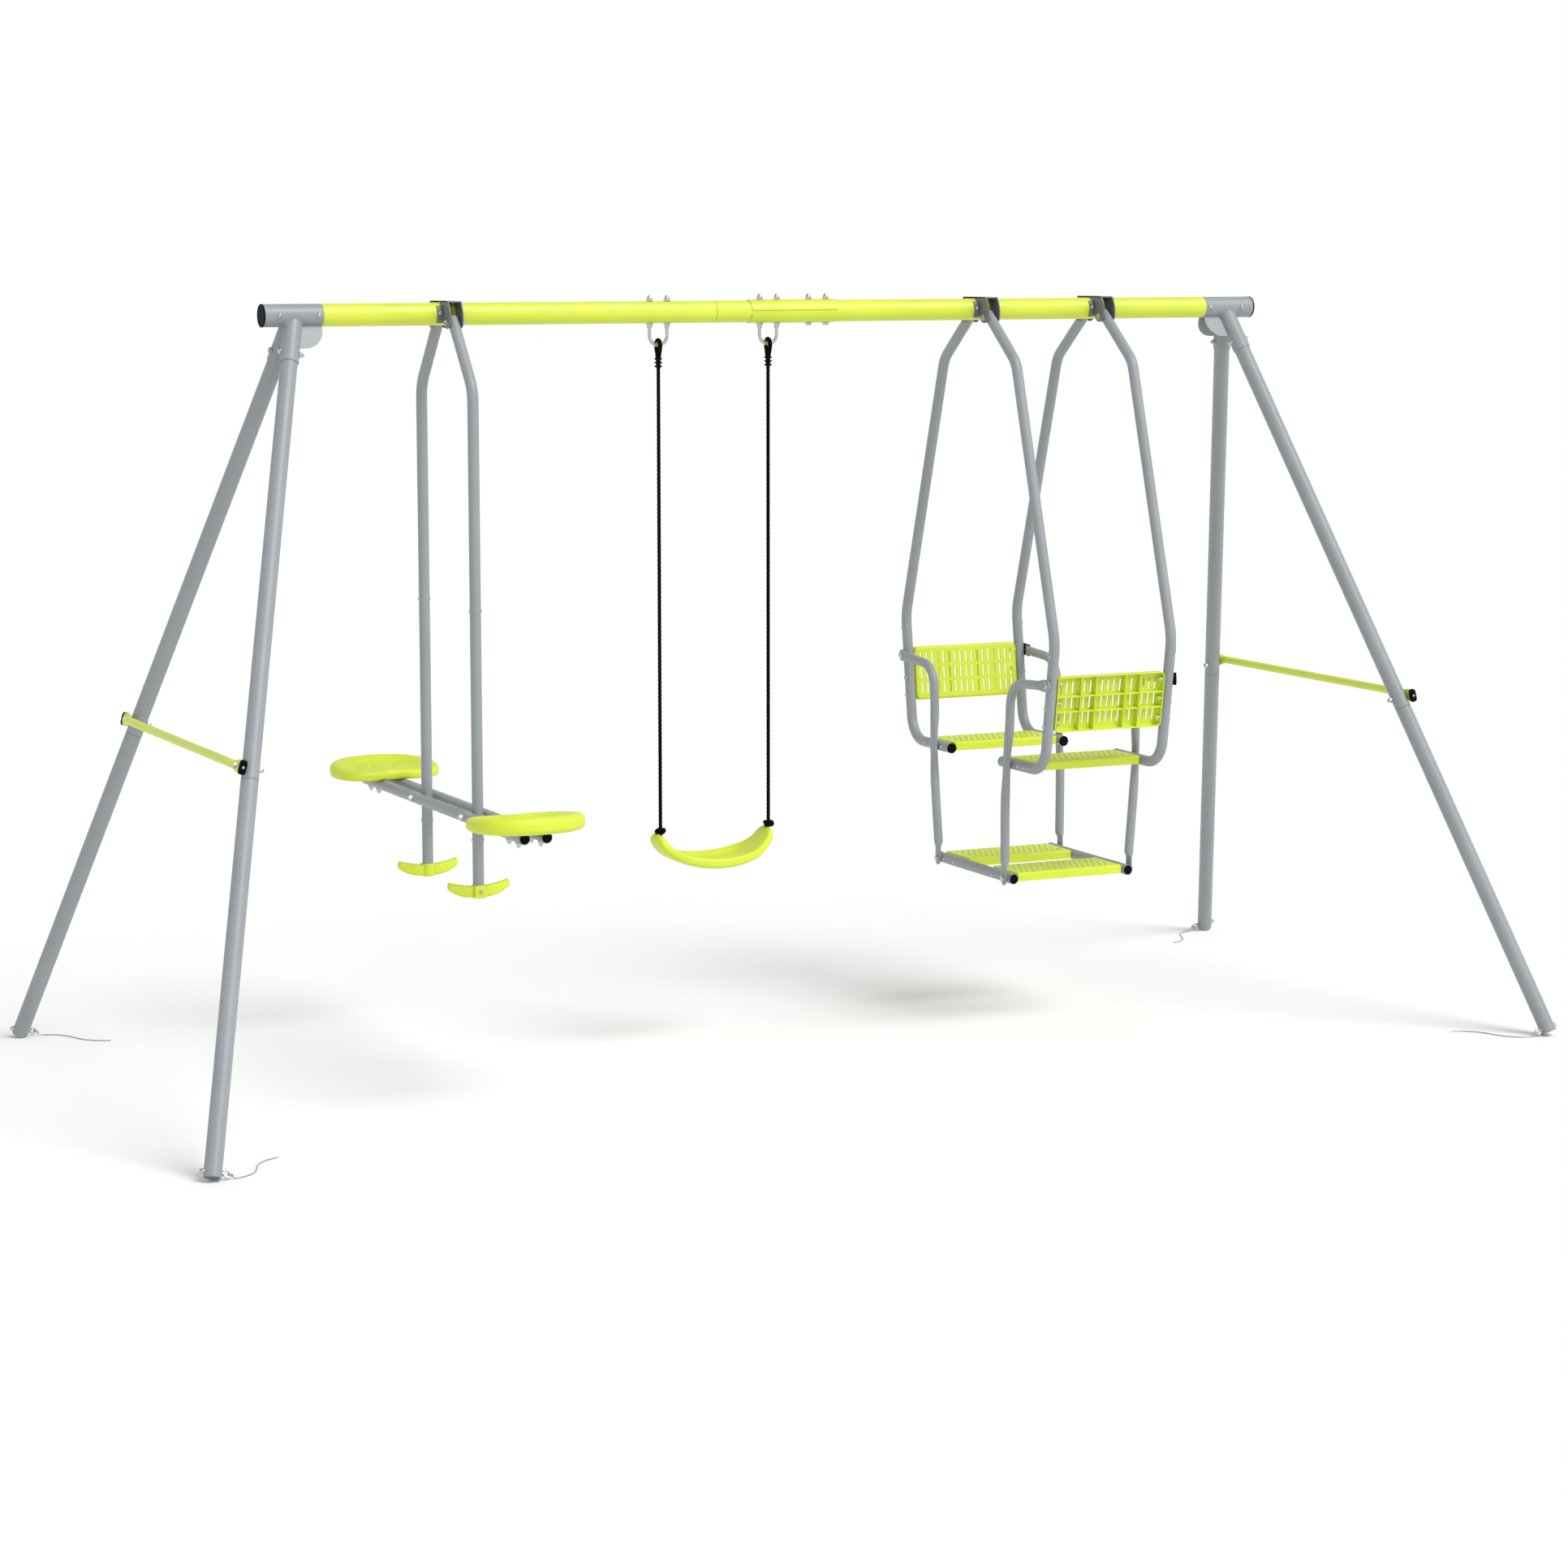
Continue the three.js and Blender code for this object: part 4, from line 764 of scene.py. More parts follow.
def brace(end):
    """A small tube whose ends are pressed to tall ovals, capped and bolted to both legs."""
    slope = math.atan2(FOOT_X - LEG_TOP_X, BEAM_Z - FOOT_RISE)
    drop = BEAM_Z - BRACE_Z + BRACE_OFFSET * math.sin(slope)
    x = LEG_TOP_X + drop * math.tan(slope) + BRACE_OFFSET * math.cos(slope)
    place = end_place(end) @ at(x, 0, BRACE_Z) @ Matrix.Rotation(-slope, 4, "Y")
    shift = LEG_RADIUS + GAP + BRACE_THICK / 2 - BRACE_OFFSET

    def ring(y, share):
        """share is 0 where the tube is round and 1 where it is pressed."""
        thick = BRACE_ROUND + (BRACE_THICK - BRACE_ROUND) * share
        wide = BRACE_ROUND + (BRACE_WIDE - BRACE_ROUND) * share
        section = oval_section(thick, wide, 2 + 1.2 * share)
        return section_ring((Vector((shift * share, y, 0)), Y_AXIS), section, X_AXIS)

    def cap_ring(y, grow):
        section = oval_section(BRACE_THICK + 0.0036 + grow, BRACE_WIDE + 0.0016 + grow, 3.6)
        return section_ring((Vector((shift, y, 0)), Y_AXIS), section, X_AXIS)

    round_end = BRACE_HALF - BRACE_OVAL_LENGTH - BRACE_PRESS_LENGTH
    half = [(round_end + BRACE_PRESS_LENGTH * t, t * t * (3 - 2 * t)) for t in np.linspace(0, 1, 11)]
    half += [(BRACE_HALF - 0.0006, 1), (BRACE_HALF, 0.985)]
    rings = [ring(-y, share) for y, share in half[::-1]] + [ring(y, share) for y, share in half]
    piece(f"brace_tube_{end}", "frame", "lime_paint", [skin(rings)], [f"brace_{end}"], place)
    cap_profile = ((-0.005, -0.0006), (-0.0044, 0), (0.002, 0), (0.0032, -0.0008), (0.0038, -0.003))
    caps, bolts = [], []
    for side in SIDES.values():
        caps.append(skin([cap_ring(side * (BRACE_HALF + out), grow) for out, grow in cap_profile]))
        bolts.append(placed(button_screw(0.0032, 0.0016, 0.0022),
                            facing((0, side, 0), (shift, side * (BRACE_HALF + 0.0036), 0))))
        outer_face = at(shift + BRACE_THICK / 2 - 0.0002, side * BRACE_BOLT_Y)
        far_face = at(shift - BRACE_THICK / 2 - GAP - 2 * LEG_RADIUS + 0.0003, side * BRACE_BOLT_Y)
        bolts += on_washer(outer_face @ ALONG_X, 0.0085, hex_head(0.012, 0.005))
        bolts += on_washer(far_face @ AGAINST_X, 0.0075, acorn_nut(0.011, 0.011))
    piece(f"brace_caps_{end}", "frame", "black_plastic", caps, place=place)
    piece(f"brace_bolts_{end}", "frame", "zinc", bolts, place=place)


for end in ENDS:
    leg_bracket(end)
    beam_cap(end)
    brace(end)
    for where in SIDES:
        legs(end, where)
        anchor_bolt(end, where)

# ------------------------------------------------------------------ top beam


def beam():
    """Two painted tubes, joined end to end over a spigot inside them."""
    place = at(z=BEAM_Z) @ ALONG_X
    left = straight_pipe(BEAM_RADIUS, BEAM_WALL, -BRACKET_INNER_X + GAP, BEAM_SEAM_X - GAP, rim=0.0008)
    right = straight_pipe(BEAM_RADIUS, BEAM_WALL, BEAM_SEAM_X + GAP, BRACKET_INNER_X - GAP, rim=0.0008)
    spigot = straight_pipe(BEAM_RADIUS - BEAM_WALL - GAP, BEAM_WALL, BEAM_SEAM_X - 0.05, BEAM_SEAM_X + 0.01)
    piece("beam_tube_left", "frame", "lime_paint", [left], ["beam_left_tube"], place)
    piece("beam_tube_right", "frame", "lime_paint", [right, spigot], ["beam_right_tube"], place)


def collar():
    """A thin C-shaped shell round the beam, open along a slit at the front."""
    inner = BEAM_RADIUS + 0.0002
    outer = inner + COLLAR_THICK
    low, high = math.degrees(math.asin(-0.0055 / outer)), math.degrees(math.asin(0.0035 / outer))
    outside = arc((0, 0), outer, 180 - low, 540 - high, 96)
    inside = arc((0, 0), inner, 540 - high, 180 - low, 96)
    shell = plate_across_x(np.concatenate([outside, inside]), *COLLAR_X, 0.0004)
    piece("beam_sleeve", "frame", "lime_paint", [shell], ["beam_collar"], at(z=BEAM_Z))
    bolts = []
    for x in COLLAR_BOLT_X:
        bolts += on_washer(at(x, 0, outer - 0.0004), 0.0085, acorn_nut(0.0125, 0.0125))
        bolts += on_washer(at(x, 0, 0.0004 - outer) @ turn(180, "X"), 0.0085, hex_head(0.0125, 0.0052))
    piece("beam_sleeve_bolts", "frame", "zinc", bolts, place=at(z=BEAM_Z))


beam()
collar()

# ------------------------------------------------------------------ hanger brackets


def cheek_outline():
    """A cheek's edge in Y and Z about the beam's axis: half of it, then its mirror image. The arc
    runs over the top of the beam, so the cheek sits on the beam like a saddle."""
    half = np.concatenate([
        bezier((-0.056, 0.0295), (-0.066, 0.020), (-0.072, 0.004), (-0.071, -0.014)),
        bezier((-0.071, -0.014), (-0.070, -0.026), (-0.061, -0.032), (-0.050, -0.032)),
        bezier((-0.050, -0.032), (-0.038, -0.032), (-0.030, -0.026), (-0.029, -0.014)),
        arc((0, 0), 0.027, 212, 90, 16),
    ])
    return np.concatenate([half, half[::-1][1:] * (-1, 1)])


def hanger_ear(x0, x1, side):
    """A strip that hugs the front or the back of the beam."""
    inner, outer = BEAM_RADIUS + 0.0002, BEAM_RADIUS + 0.0032
    middle = 180 if side < 0 else 0
    outline = np.concatenate([arc((0, 0), outer, middle - 43, middle + 43, 20),
                              arc((0, 0), inner, middle + 43, middle - 43, 20)])
    return plate_across_x(outline, x0, x1)


def hanger(name, x):
    """Two cheeks under a top plate, with an ear and a pivot bolt to the front and to the back."""
    outer = CHEEK_INNER + PLATE
    forms = [rounded_block(-outer, outer, -0.056, 0.056, 0.0263, 0.0295)]
    bolts = []
    for side in SIDES.values():
        forms.append(plate_across_x(cheek_outline(), *sorted((side * CHEEK_INNER, side * outer))))
        forms.append(hanger_ear(*sorted((side * (CHEEK_INNER + 0.0005), side * (outer + 0.013))), side))
        pivot = at(0, side * PIVOT_Y, PIVOT_Z - BEAM_Z)
        bolts.append(placed(pin(PIN_RADIUS, -outer, outer), pivot, ALONG_X))
        bolts += on_washer(pivot @ at(0.0002 - outer) @ AGAINST_X, 0.0078, hex_head(0.0115, 0.0042))
        bolts += on_washer(pivot @ at(outer - 0.0002) @ ALONG_X, 0.0078, acorn_nut(0.0115, 0.0115))
        ear_screw = facing((0, side, 0.12), (side * (outer + 0.0062), side * 0.0284, 0.0034))
        bolts.append(placed(button_screw(0.005, 0.003), ear_screw))
    place = at(x, 0, BEAM_Z)
    piece(f"hanger_{name}", "frame", "bracket_paint", forms, [f"hanger_bracket_{name}"], place)
    piece(f"hanger_bolts_{name}", "frame", "zinc", bolts, place=place)


hanger("glider", GLIDER_X)
hanger("gondola_left", GONDOLA_X - GONDOLA_HALF)
hanger("gondola_right", GONDOLA_X + GONDOLA_HALF)

# ------------------------------------------------------------------ two-seat glider


def tube_top(shoulder_y, shoulder_z):
    """Where a hanging tube starts, a little above its pivot and in line with its first run."""
    down = Vector((0, PIVOT_Y - shoulder_y, PIVOT_Z - shoulder_z)).normalized()
    return Vector((0, -PIVOT_Y, PIVOT_Z)) + Vector((0, -down.y, down.z)) * TUBE_ABOVE_PIVOT


def tube_end_dome(station):
    """The rounded end of a hanging tube, which closes it above its pivot."""
    point, tangent = station
    rows = [(TUBE_RADIUS * math.cos(a), 0.005 * math.sin(a)) for a in np.radians((0, 20, 40, 60, 78, 90))]
    dome = turned([(0, -0.002), (TUBE_RADIUS - 0.0002, -0.002)] + rows, ROUND)
    return placed(dome, facing(-tangent, point))


def glider_half(where, turned_by):
    """One hanging tube of the glider with the footrest at its foot."""
    body = f"glider_{where}"
    place = at(GLIDER_X) @ turn(turned_by, "Z")
    y = -GLIDER_TUBE_Y
    corners = [tube_top(GLIDER_TUBE_Y, GLIDER_BEND_Z), (0, y, GLIDER_BEND_Z), (0, y, FOOTREST_Z + 0.005)]
    route = bent_route(corners, [0.080])
    below_bend = len(route) - 2
    tube = bent_pipe(route, seams=[(below_bend, route[below_bend][0].z - GLIDER_SEAM_Z)])
    screws = [side_screw(side, side * (TUBE_RADIUS - 0.0004), y, z, 0.004, 0.0026)
              for side in (-1, 1) for z in (1.0765, 0.560)]
    screws.append(placed(button_screw(0.0045, 0.003), facing((0, -1, 0), (0, y - 0.0160, 0.443))))
    piece(f"glider_hanger_{where}", body, "grey_paint", [tube, tube_end_dome(route[0])],
          [f"glider_{where}_tube"], place)
    piece(f"glider_hanger_screws_{where}", body, "zinc", screws, place=place)
    piece(f"footrest_{where}", body, "lime_plastic", footrest(), [f"glider_footrest_{where}"],
          place @ at(0, y, FOOTREST_Z))


def footrest_peg(side):
    """A crescent peg with small teeth along its top."""
    rings = []
    for t in np.linspace(0, 1, 121):
        low = 0.0015 + 0.0210 * t**2.4
        high = 0.0270 + 0.0118 * t**1.5
        teeth = 0.0016 * max(0.0, math.sin(TAU * 8 * t)) if 0.12 < t < 0.97 else 0.0
        ribs = 0.0005 * math.cos(TAU * 8 * t)
        taper = 1 if t < 0.95 else math.sqrt(1 - 0.6 * ((t - 0.95) / 0.05) ** 2)
        section = oval_section(0.0196 * (1 - 0.18 * t) * taper + ribs, (high - low) * taper, 3.4, 56)
        section[:, 1] += np.where(section[:, 1] > 0, teeth, 0.0)
        x = np.full(len(section), side * (0.010 + 0.0630 * t))
        rings.append(np.column_stack([x, section[:, 0], section[:, 1] + (low + high) / 2]))
    return skin(rings)


def footrest():
    """A socket under the tube, with a peg to each side."""
    r, bore = 0.0163, TUBE_RADIUS + 0.0003
    sleeve = turned([(0, 0), (r - 0.003, 0), (r - 0.0008, 0.001), (r, 0.003), (r, 0.027),
                     (r - 0.0008, 0.0292), (r - 0.0018, 0.030), (bore, 0.030), (bore, 0.005),
                     (0, 0.005)], ROUND)
    front = rounded_block(-0.0140, 0.0140, -0.0166, 0.0, 0.001, 0.0292, 0.0030)
    return [sleeve, front, footrest_peg(-1), footrest_peg(1)]


def saddle_outline():
    """Plan of the saddle seat: a wide oval with a notch on the side nearest the middle."""
    half = np.concatenate([
        bezier((0, -0.086), (0.022, -0.086), (0.034, -0.100), (0.062, -0.098), 18),
        bezier((0.062, -0.098), (0.104, -0.095), (0.131, -0.062), (0.131, -0.014), 24),
        bezier((0.131, -0.014), (0.131, 0.052), (0.084, 0.096), (0, 0.096), 36),
    ])
    return np.concatenate([half, [(0, 0.096)], half[1:][::-1] * (-1, 1)])


def rim_height(y):
    return SADDLE_RISE + SADDLE_SLOPE * y


def saddle():
    """A thick pad with fat rounded edges and a shallow dish, with four dimples for its bolts."""
    outline = counter_clockwise(saddle_outline())
    dimples = [(x, y) for x in (-GLIDER_RAIL_X, GLIDER_RAIL_X) for y in SADDLE_BOLT_Y]

    def ring(points, z):
        return np.column_stack([points, np.broadcast_to(np.ravel(z), len(points))])

    height = rim_height(outline[:, 1:])
    low_edge, top_edge = 0.34 * height, 0.44 * height
    shares = np.linspace(0, 1, 56)
    rings = [ring(inset(outline, low_edge) * share, 0.0) for share in shares]
    for angle in np.radians((-75, -60, -45, -30, -15, 0)):
        points = inset(outline, low_edge * (1 - math.cos(angle)))
        rings.append(ring(points, low_edge * (1 + math.sin(angle))))
    for angle in np.radians((0, 12, 24, 36, 48, 60, 72)):
        points = inset(outline, top_edge * (1 - math.cos(angle)))
        rings.append(ring(points, rim_height(points[:, 1:]) - top_edge * (1 - math.sin(angle))))
    for share in shares[::-1]:
        points = inset(outline, top_edge) * share
        x, y = points[:, 0], points[:, 1]
        z = rim_height(y) - SADDLE_DISH * smooth_step(1 - share, 0.0, 0.42)
        for dx, dy in dimples:
            z = z - 0.0060 / (1 + (np.hypot(x - dx, y - dy) / 0.0068) ** 6)
        rings.append(ring(points, z))
    screws = [placed(button_screw(0.0047, 0.0030), at(x, y, rim_height(y) - SADDLE_DISH - 0.0061))
              for x, y in dimples]
    return skin(rings), screws


def glider_rails():
    """The two rails that carry the seats, with their caps, pivot bolts and seat bolts."""
    caps, bolts = [], []
    for name, side in (("left", -1), ("right", 1)):
        base = at(GLIDER_X + side * GLIDER_RAIL_X, 0, GLIDER_RAIL_Z)
        rail = straight_pipe(TUBE_RADIUS, TUBE_WALL, -GLIDER_RAIL_HALF, GLIDER_RAIL_HALF)
        piece(f"glider_rail_tube_{name}", "glider_seats", "grey_paint", [rail], [f"glider_rail_{name}"],
              base @ turn(-90, "X"))
        pivot_top = hex_head(0.012, 0.005) if side < 0 else acorn_nut(0.012, 0.011)
        for end_side in SIDES.values():
            caps.append(placed(tube_cap(end_side, 0, end_side * (GLIDER_RAIL_HALF - 0.0029), 0), base))
            pivot = at(side * (TUBE_RADIUS - 0.0006), end_side * GLIDER_TUBE_Y) @ turn(side * 90, "Y")
            bolts += on_washer(base @ pivot, 0.0095, pivot_top, 0.0016)
            for y in SADDLE_BOLT_Y:
                below = at(0, end_side * (GLIDER_SEAT_Y + y), 0.0006 - TUBE_RADIUS) @ turn(180, "X")
                bolts += on_washer(base @ below, 0.0075, acorn_nut(0.011, 0.011))
    for side in SIDES.values():
        middle = at(GLIDER_X, side * GLIDER_TUBE_Y, GLIDER_RAIL_Z)
        bolts.append(placed(pin(PIN_RADIUS, -0.0135, 0.0135), middle, ALONG_X))
    piece("glider_rail_bolts", "glider_seats", "zinc", bolts)
    piece("glider_rail_caps", "glider_seats", "black_plastic", caps)


def glider_seat(where, turned_by):
    seat, screws = saddle()
    under_z = GLIDER_RAIL_Z + TUBE_RADIUS + GAP
    place = at(GLIDER_X, SIDES[where] * GLIDER_SEAT_Y, under_z) @ turn(turned_by, "Z")
    piece(f"saddle_{where}", "glider_seats", "lime_plastic", [seat], [f"glider_seat_{where}"], place,
          crease=50)
    piece(f"saddle_screws_{where}", "glider_seats", "zinc", screws, place=place)


glider_half("front", 0)
glider_half("back", 180)
glider_rails()
glider_seat("front", 180)
glider_seat("back", 0)

# ------------------------------------------------------------------ rope swing


def u_bolt(name, x, seat):
    """Threaded U of round wire: acorn nuts and washers on top, collar nuts underneath."""
    left, right = x - U_BOLT_HALF, x + U_BOLT_HALF
    top, low = BEAM_Z + seat + 0.004, SWING_PIVOT_Z
    bend = U_BOLT_HALF - 0.00001
    route = bent_route([(left, 0, top), (left, 0, low), (right, 0, low), (right, 0, top)], [bend, bend])
    forms = [swept(route, round_section(U_BOLT_WIRE, SMALL_ROUND), Y_AXIS)]
    shoulder = turned([(0, 0.006), (0.0056, 0.006), (0.0056, 0.0115), (0.0048, 0.0125), (0, 0.0125)])
    for leg_x in (left, right):
        below = at(leg_x, 0, BEAM_Z - seat + 0.0006) @ turn(180, "X")
        forms += on_washer(at(leg_x, 0, BEAM_Z + seat - 0.0006), 0.0092, acorn_nut(0.0125, 0.0128), 0.0016)
        forms += on_washer(below, 0.0092, hex_head(0.0125, 0.0062), 0.0016)
        forms.append(placed(shoulder, below))
    piece(f"swing_u_bolt_{name}", "frame", "zinc", forms, [f"u_bolt_{name}"])


def eye_line(radius):
    """A drop-shaped loop in Y and Z about the U-bolt's wire, closing towards the ferrule."""
    loop = [(0, radius * math.cos(a), radius * math.sin(a)) for a in np.radians(np.linspace(-24, 204, 40))]
    foot = 0.3 * radius
    return smooth_line([(0, foot, -0.030)] + loop + [(0, -foot, -0.030)], 3)


def rope_eye(name, x):
    """The rope's loop on its thimble over the U-bolt, and the ribbed ferrule under it."""
    place = at(x, 0, SWING_PIVOT_Z)
    loop = laid_rope(eye_line(0.0119), 0.0052, 3, 0.022, 0.2)
    profile = [(0, -0.052), (0.0052, -0.052), (0.0056, -0.0512)]
    for z in (-0.048, -0.0395, -0.031):
        profile += [(0.0056, z - 0.0022), (0.0086, z - 0.0017), (0.0090, z - 0.0010),
                    (0.0090, z + 0.0010), (0.0086, z + 0.0017), (0.0056, z + 0.0022)]
    profile += [(0.0060, -0.027), (0.004, -0.0262), (0, -0.0262)]
    channel = [(-0.0050, -0.0022), (-0.0050, 0.0007), (0.0050, 0.0007), (0.0050, -0.0022),
               (0.0042, -0.0022), (0.0042, -0.0005), (-0.0042, -0.0005), (-0.0042, -0.0022)]
    thimble = swept(round_route(0.0062, Y_AXIS, Z_AXIS, np.radians(np.linspace(-20, 200, 45))), channel)
    piece(f"eye_loop_{name}", "rope_swing", "rope", [loop], [f"rope_eye_{name}"], place, crease=60)
    piece(f"eye_ferrule_{name}", "rope_swing", "black_plastic", [turned(profile, 40)], place=place)
    piece(f"eye_thimble_{name}", "rope_swing", "lime_plastic", [thimble], place=place)


def knot(centre, turn_by):
    """A tight overhand knot of the rope, standing on the seat's horn."""
    size = 0.0033
    line = []
    for t in whole_turn(150):
        x, y = math.sin(t) + 2 * math.sin(2 * t), math.cos(t) - 2 * math.cos(2 * t)
        point = Vector((x, y, -0.95 * math.sin(3 * t)))
        line.append(Matrix.Rotation(turn_by, 3, "Z") @ point * size + Vector(centre))
    rings = []
    for i, point in enumerate(line):
        tangent = (line[(i + 1) % len(line)] - line[i - 1]).normalized()
        lobes = 1 - 0.14 * abs(np.sin(whole_turn(20) * 1.5 + 0.5 * i))
        section = round_section(0.0049, 20) * lobes[:, None]
        rings.append(section_ring((point, tangent), section, (Vector(centre) - point).normalized()))
    return skin(rings, loop=True)


def swing_rope(name, x, knot_turn):
    """A three-strand rope from the ferrule down into the horn, with its knot on the horn."""
    top, bottom = SWING_PIVOT_Z - 0.0515, SWING_SEAT_TOP - 0.006
    line = [(x, 0, z) for z in np.linspace(top, bottom, round((top - bottom) / 0.0025) + 1)]
    rope = laid_rope(line, ROPE_RADIUS, 3, 0.030, 0.2)
    piece(f"rope_{name}", "rope_swing", "rope", [rope], [f"swing_rope_{name}"], crease=60)
    tied = knot((x, 0, SWING_SEAT_TOP + 0.007), knot_turn)
    piece(f"rope_knot_{name}", "rope_swing", "rope", [tied], crease=60)


def belt_seat():
    """A moulded belt: a deep U with a tall rolled rim round a sunken floor, and rounded horns."""
    middle_x = sum(ROPE_X) / 2 + SWING_SEAT_SHIFT[0]
    middle_z = SWING_SEAT_LOW + SWING_SEAT_RIM / 2
    horn_x, horn_z = 0.1415, SWING_SEAT_TOP - 0.0065
    curve = bezier((horn_x, horn_z), (0.1320, 0.4700), (0.0830, middle_z + 0.0015), (0, middle_z), 60)
    half = np.concatenate([curve, [(0, middle_z)]])
    line = np.concatenate([half, (half * (-1, 1))[::-1][1:]])
    angles = whole_turn(96)
    c, s = np.cos(angles), np.sin(angles)
    y = np.sign(c) * abs(c) ** 0.5
    rings = []
    last = len(line) - 1
    for i, (x, z) in enumerate(line):
        before, after = line[max(i - 1, 0)], line[min(i + 1, last)]
        tangent = Vector((after[0] - before[0], 0, after[1] - before[1])).normalized()
        reach = abs(x) / horn_x
        width = 0.0690 - 0.0165 * reach**2 - 0.0175 * max(reach - 0.62, 0) / 0.38
        from_tip = min(i, last - i) / 8
        round_over = math.sqrt(max(1 - (1 - min(from_tip, 1)) ** 2, 0.0004))
        rim = (SWING_SEAT_RIM / 2 - 0.0055 * reach**2) * np.sign(s) * abs(s) ** 0.5
        sunken = 0.014 * (1 - smooth_step(reach, 0.45, 0.95)) * (1 - smooth_step(abs(y), 0.50, 0.92))
        thickness = rim + np.where(s < 0, sunken, 0)
        wide, tall = 0.35 + 0.65 * round_over, 0.25 + 0.75 * round_over
        section = np.stack([y * width * wide, thickness * tall], 1)
        tip = tangent * (0.0065 * (1 - round_over) * (-1 if i <= last / 2 else 1))
        point = Vector((x + middle_x, SWING_SEAT_SHIFT[1], z)) + tip
        rings.append(section_ring((point, tangent), section, Y_AXIS))
    piece("belt_seat", "rope_swing", "lime_plastic", [skin(rings)], ["swing_seat"], crease=60)


u_bolt("left", ROPE_X[0], BEAM_RADIUS)
u_bolt("right", ROPE_X[1], BEAM_RADIUS + COLLAR_THICK)
for name, x, knot_turn in zip(("left", "right"), ROPE_X, (0.5, 1.4)):
    rope_eye(name, x)
    swing_rope(name, x, knot_turn)
belt_seat()

# ------------------------------------------------------------------ gondola: moulded panels


def form_of(polygons):
    """A form of separate polygons."""
    faces, start = [], 0
    for corners in polygons:
        faces.append(tuple(range(start, start + len(corners))))
        start += len(corners)
    return np.array([point for corners in polygons for point in corners]), faces


def slot_ring(x, y, slot, grow, z):
    """Sixteen points round a slot with round ends, drawn larger by grow."""
    half_width, straight = slot[0] / 2 + grow, (slot[1] - slot[0]) / 2
    ring = []
    for start, middle in ((0, y + straight), (180, y - straight)):
        for a in np.radians(np.linspace(start, start + 180, 8)):
            ring.append((x + half_width * math.cos(a), middle + half_width * math.sin(a), z))
    return ring


def slot_cell(x, y, pitch, slot):
    """One pitch of the tray's face, with a slot cut through it."""
    hx, hy = pitch[0] / 2, pitch[1] / 2
    border = [(x + hx, y), (x + hx, y + hy), (x, y + hy), (x - hx, y + hy),
              (x - hx, y), (x - hx, y - hy), (x, y - hy), (x + hx, y - hy)]
    soft, wall = SLOT_SOFT, TRAY_WALL
    levels = [(soft, 0), (0.3 * soft, -0.3 * soft), (0, -soft), (0, -wall + soft), (soft, -wall)]
    loops = [slot_ring(x, y, slot, grow, z) for grow, z in levels]
    polygons = []
    for z, loop in ((0, loops[0]), (-wall, loops[-1])):
        for k in range(8):
            a, b = border[k], border[(k + 1) % 8]
            polygons.append([(*a, z), (*b, z), loop[(2 * k + 2) % 16], loop[2 * k + 1], loop[2 * k]])
    for upper, lower in zip(loops, loops[1:]):
        for k in range(16):
            n = (k + 1) % 16
            polygons.append([upper[k], upper[n], lower[n], lower[k]])
    return polygons


def half_cell(x, y, pitch):
    """The plain face between a tray's side and the first slot of a staggered row."""
    hx, hy = pitch[0] / 4, pitch[1] / 2
    border = [(x + hx, y), (x + hx, y + hy), (x - hx, y + hy),
              (x - hx, y), (x - hx, y - hy), (x + hx, y - hy)]
    return [[(*point, z) for point in border] for z in (0, -TRAY_WALL)]


def tray_rim(rows, pitch, half_width, depth, edge, corner):
    """The tray's margin, rounded edge and walls, all round the field of slots."""
    gx, gy = SLOT_COLUMNS * pitch[0] / 2, rows * pitch[1] / 2
    border = [(-gx + i * pitch[0] / 2, -gy) for i in range(2 * SLOT_COLUMNS)]
    border += [(gx, -gy + i * pitch[1] / 2) for i in range(2 * rows)]
    border += [(-x, -y) for x, y in border]
    lx, ly = PANEL_LENGTH / 2 - edge, half_width - edge
    bow = corner - edge
    fan = []  # (point on the field's border, point where the edge starts, outward direction)
    for x, y in border:
        at_side, at_end = abs(abs(x) - gx) < 1e-9, abs(abs(y) - gy) < 1e-9
        out_x, out_y = math.copysign(1, x), math.copysign(1, y)
        bent_x, bent_y = x * (lx - bow) / gx, y * (ly - bow) / gy
        if at_side and at_end:
            middle = math.atan2(out_y, out_x)
            for a in np.linspace(middle - math.pi / 4, middle + math.pi / 4, 9):
                out = (math.cos(a), math.sin(a))
                fan.append(((x, y), (bent_x + bow * out[0], bent_y + bow * out[1]), out))
        elif at_side:
            fan.append(((x, y), (out_x * lx, bent_y), (out_x, 0)))
        else:
            fan.append(((x, y), (bent_x, out_y * ly), (0, out_y)))
    wall, inner = TRAY_WALL, edge - TRAY_WALL
    profile = [(edge * math.sin(a), -edge * (1 - math.cos(a))) for a in np.radians((0, 15, 35, 55, 75, 90))]
    profile += [(edge, -depth + 0.0006), (edge - 0.0006, -depth), (inner + 0.0006, -depth),
                (inner, -depth + 0.0006)]
    profile += [(inner * math.cos(a), -wall - 2 * inner * (1 - math.sin(a)))
                for a in np.radians((0, 30, 60, 90))]
    loops = [[(*point, 0) for point, _, _ in fan]]
    loops += [[(s[0] + off * d[0], s[1] + off * d[1], z) for _, s, d in fan] for off, z in profile]
    loops.append([(*point, -wall) for point, _, _ in fan])
    polygons = []
    for first, second in zip(loops, loops[1:]):
        for k in range(len(fan)):
            n = (k + 1) % len(fan)
            polygons.append([first[k], first[n], second[n], second[k]])
    return polygons


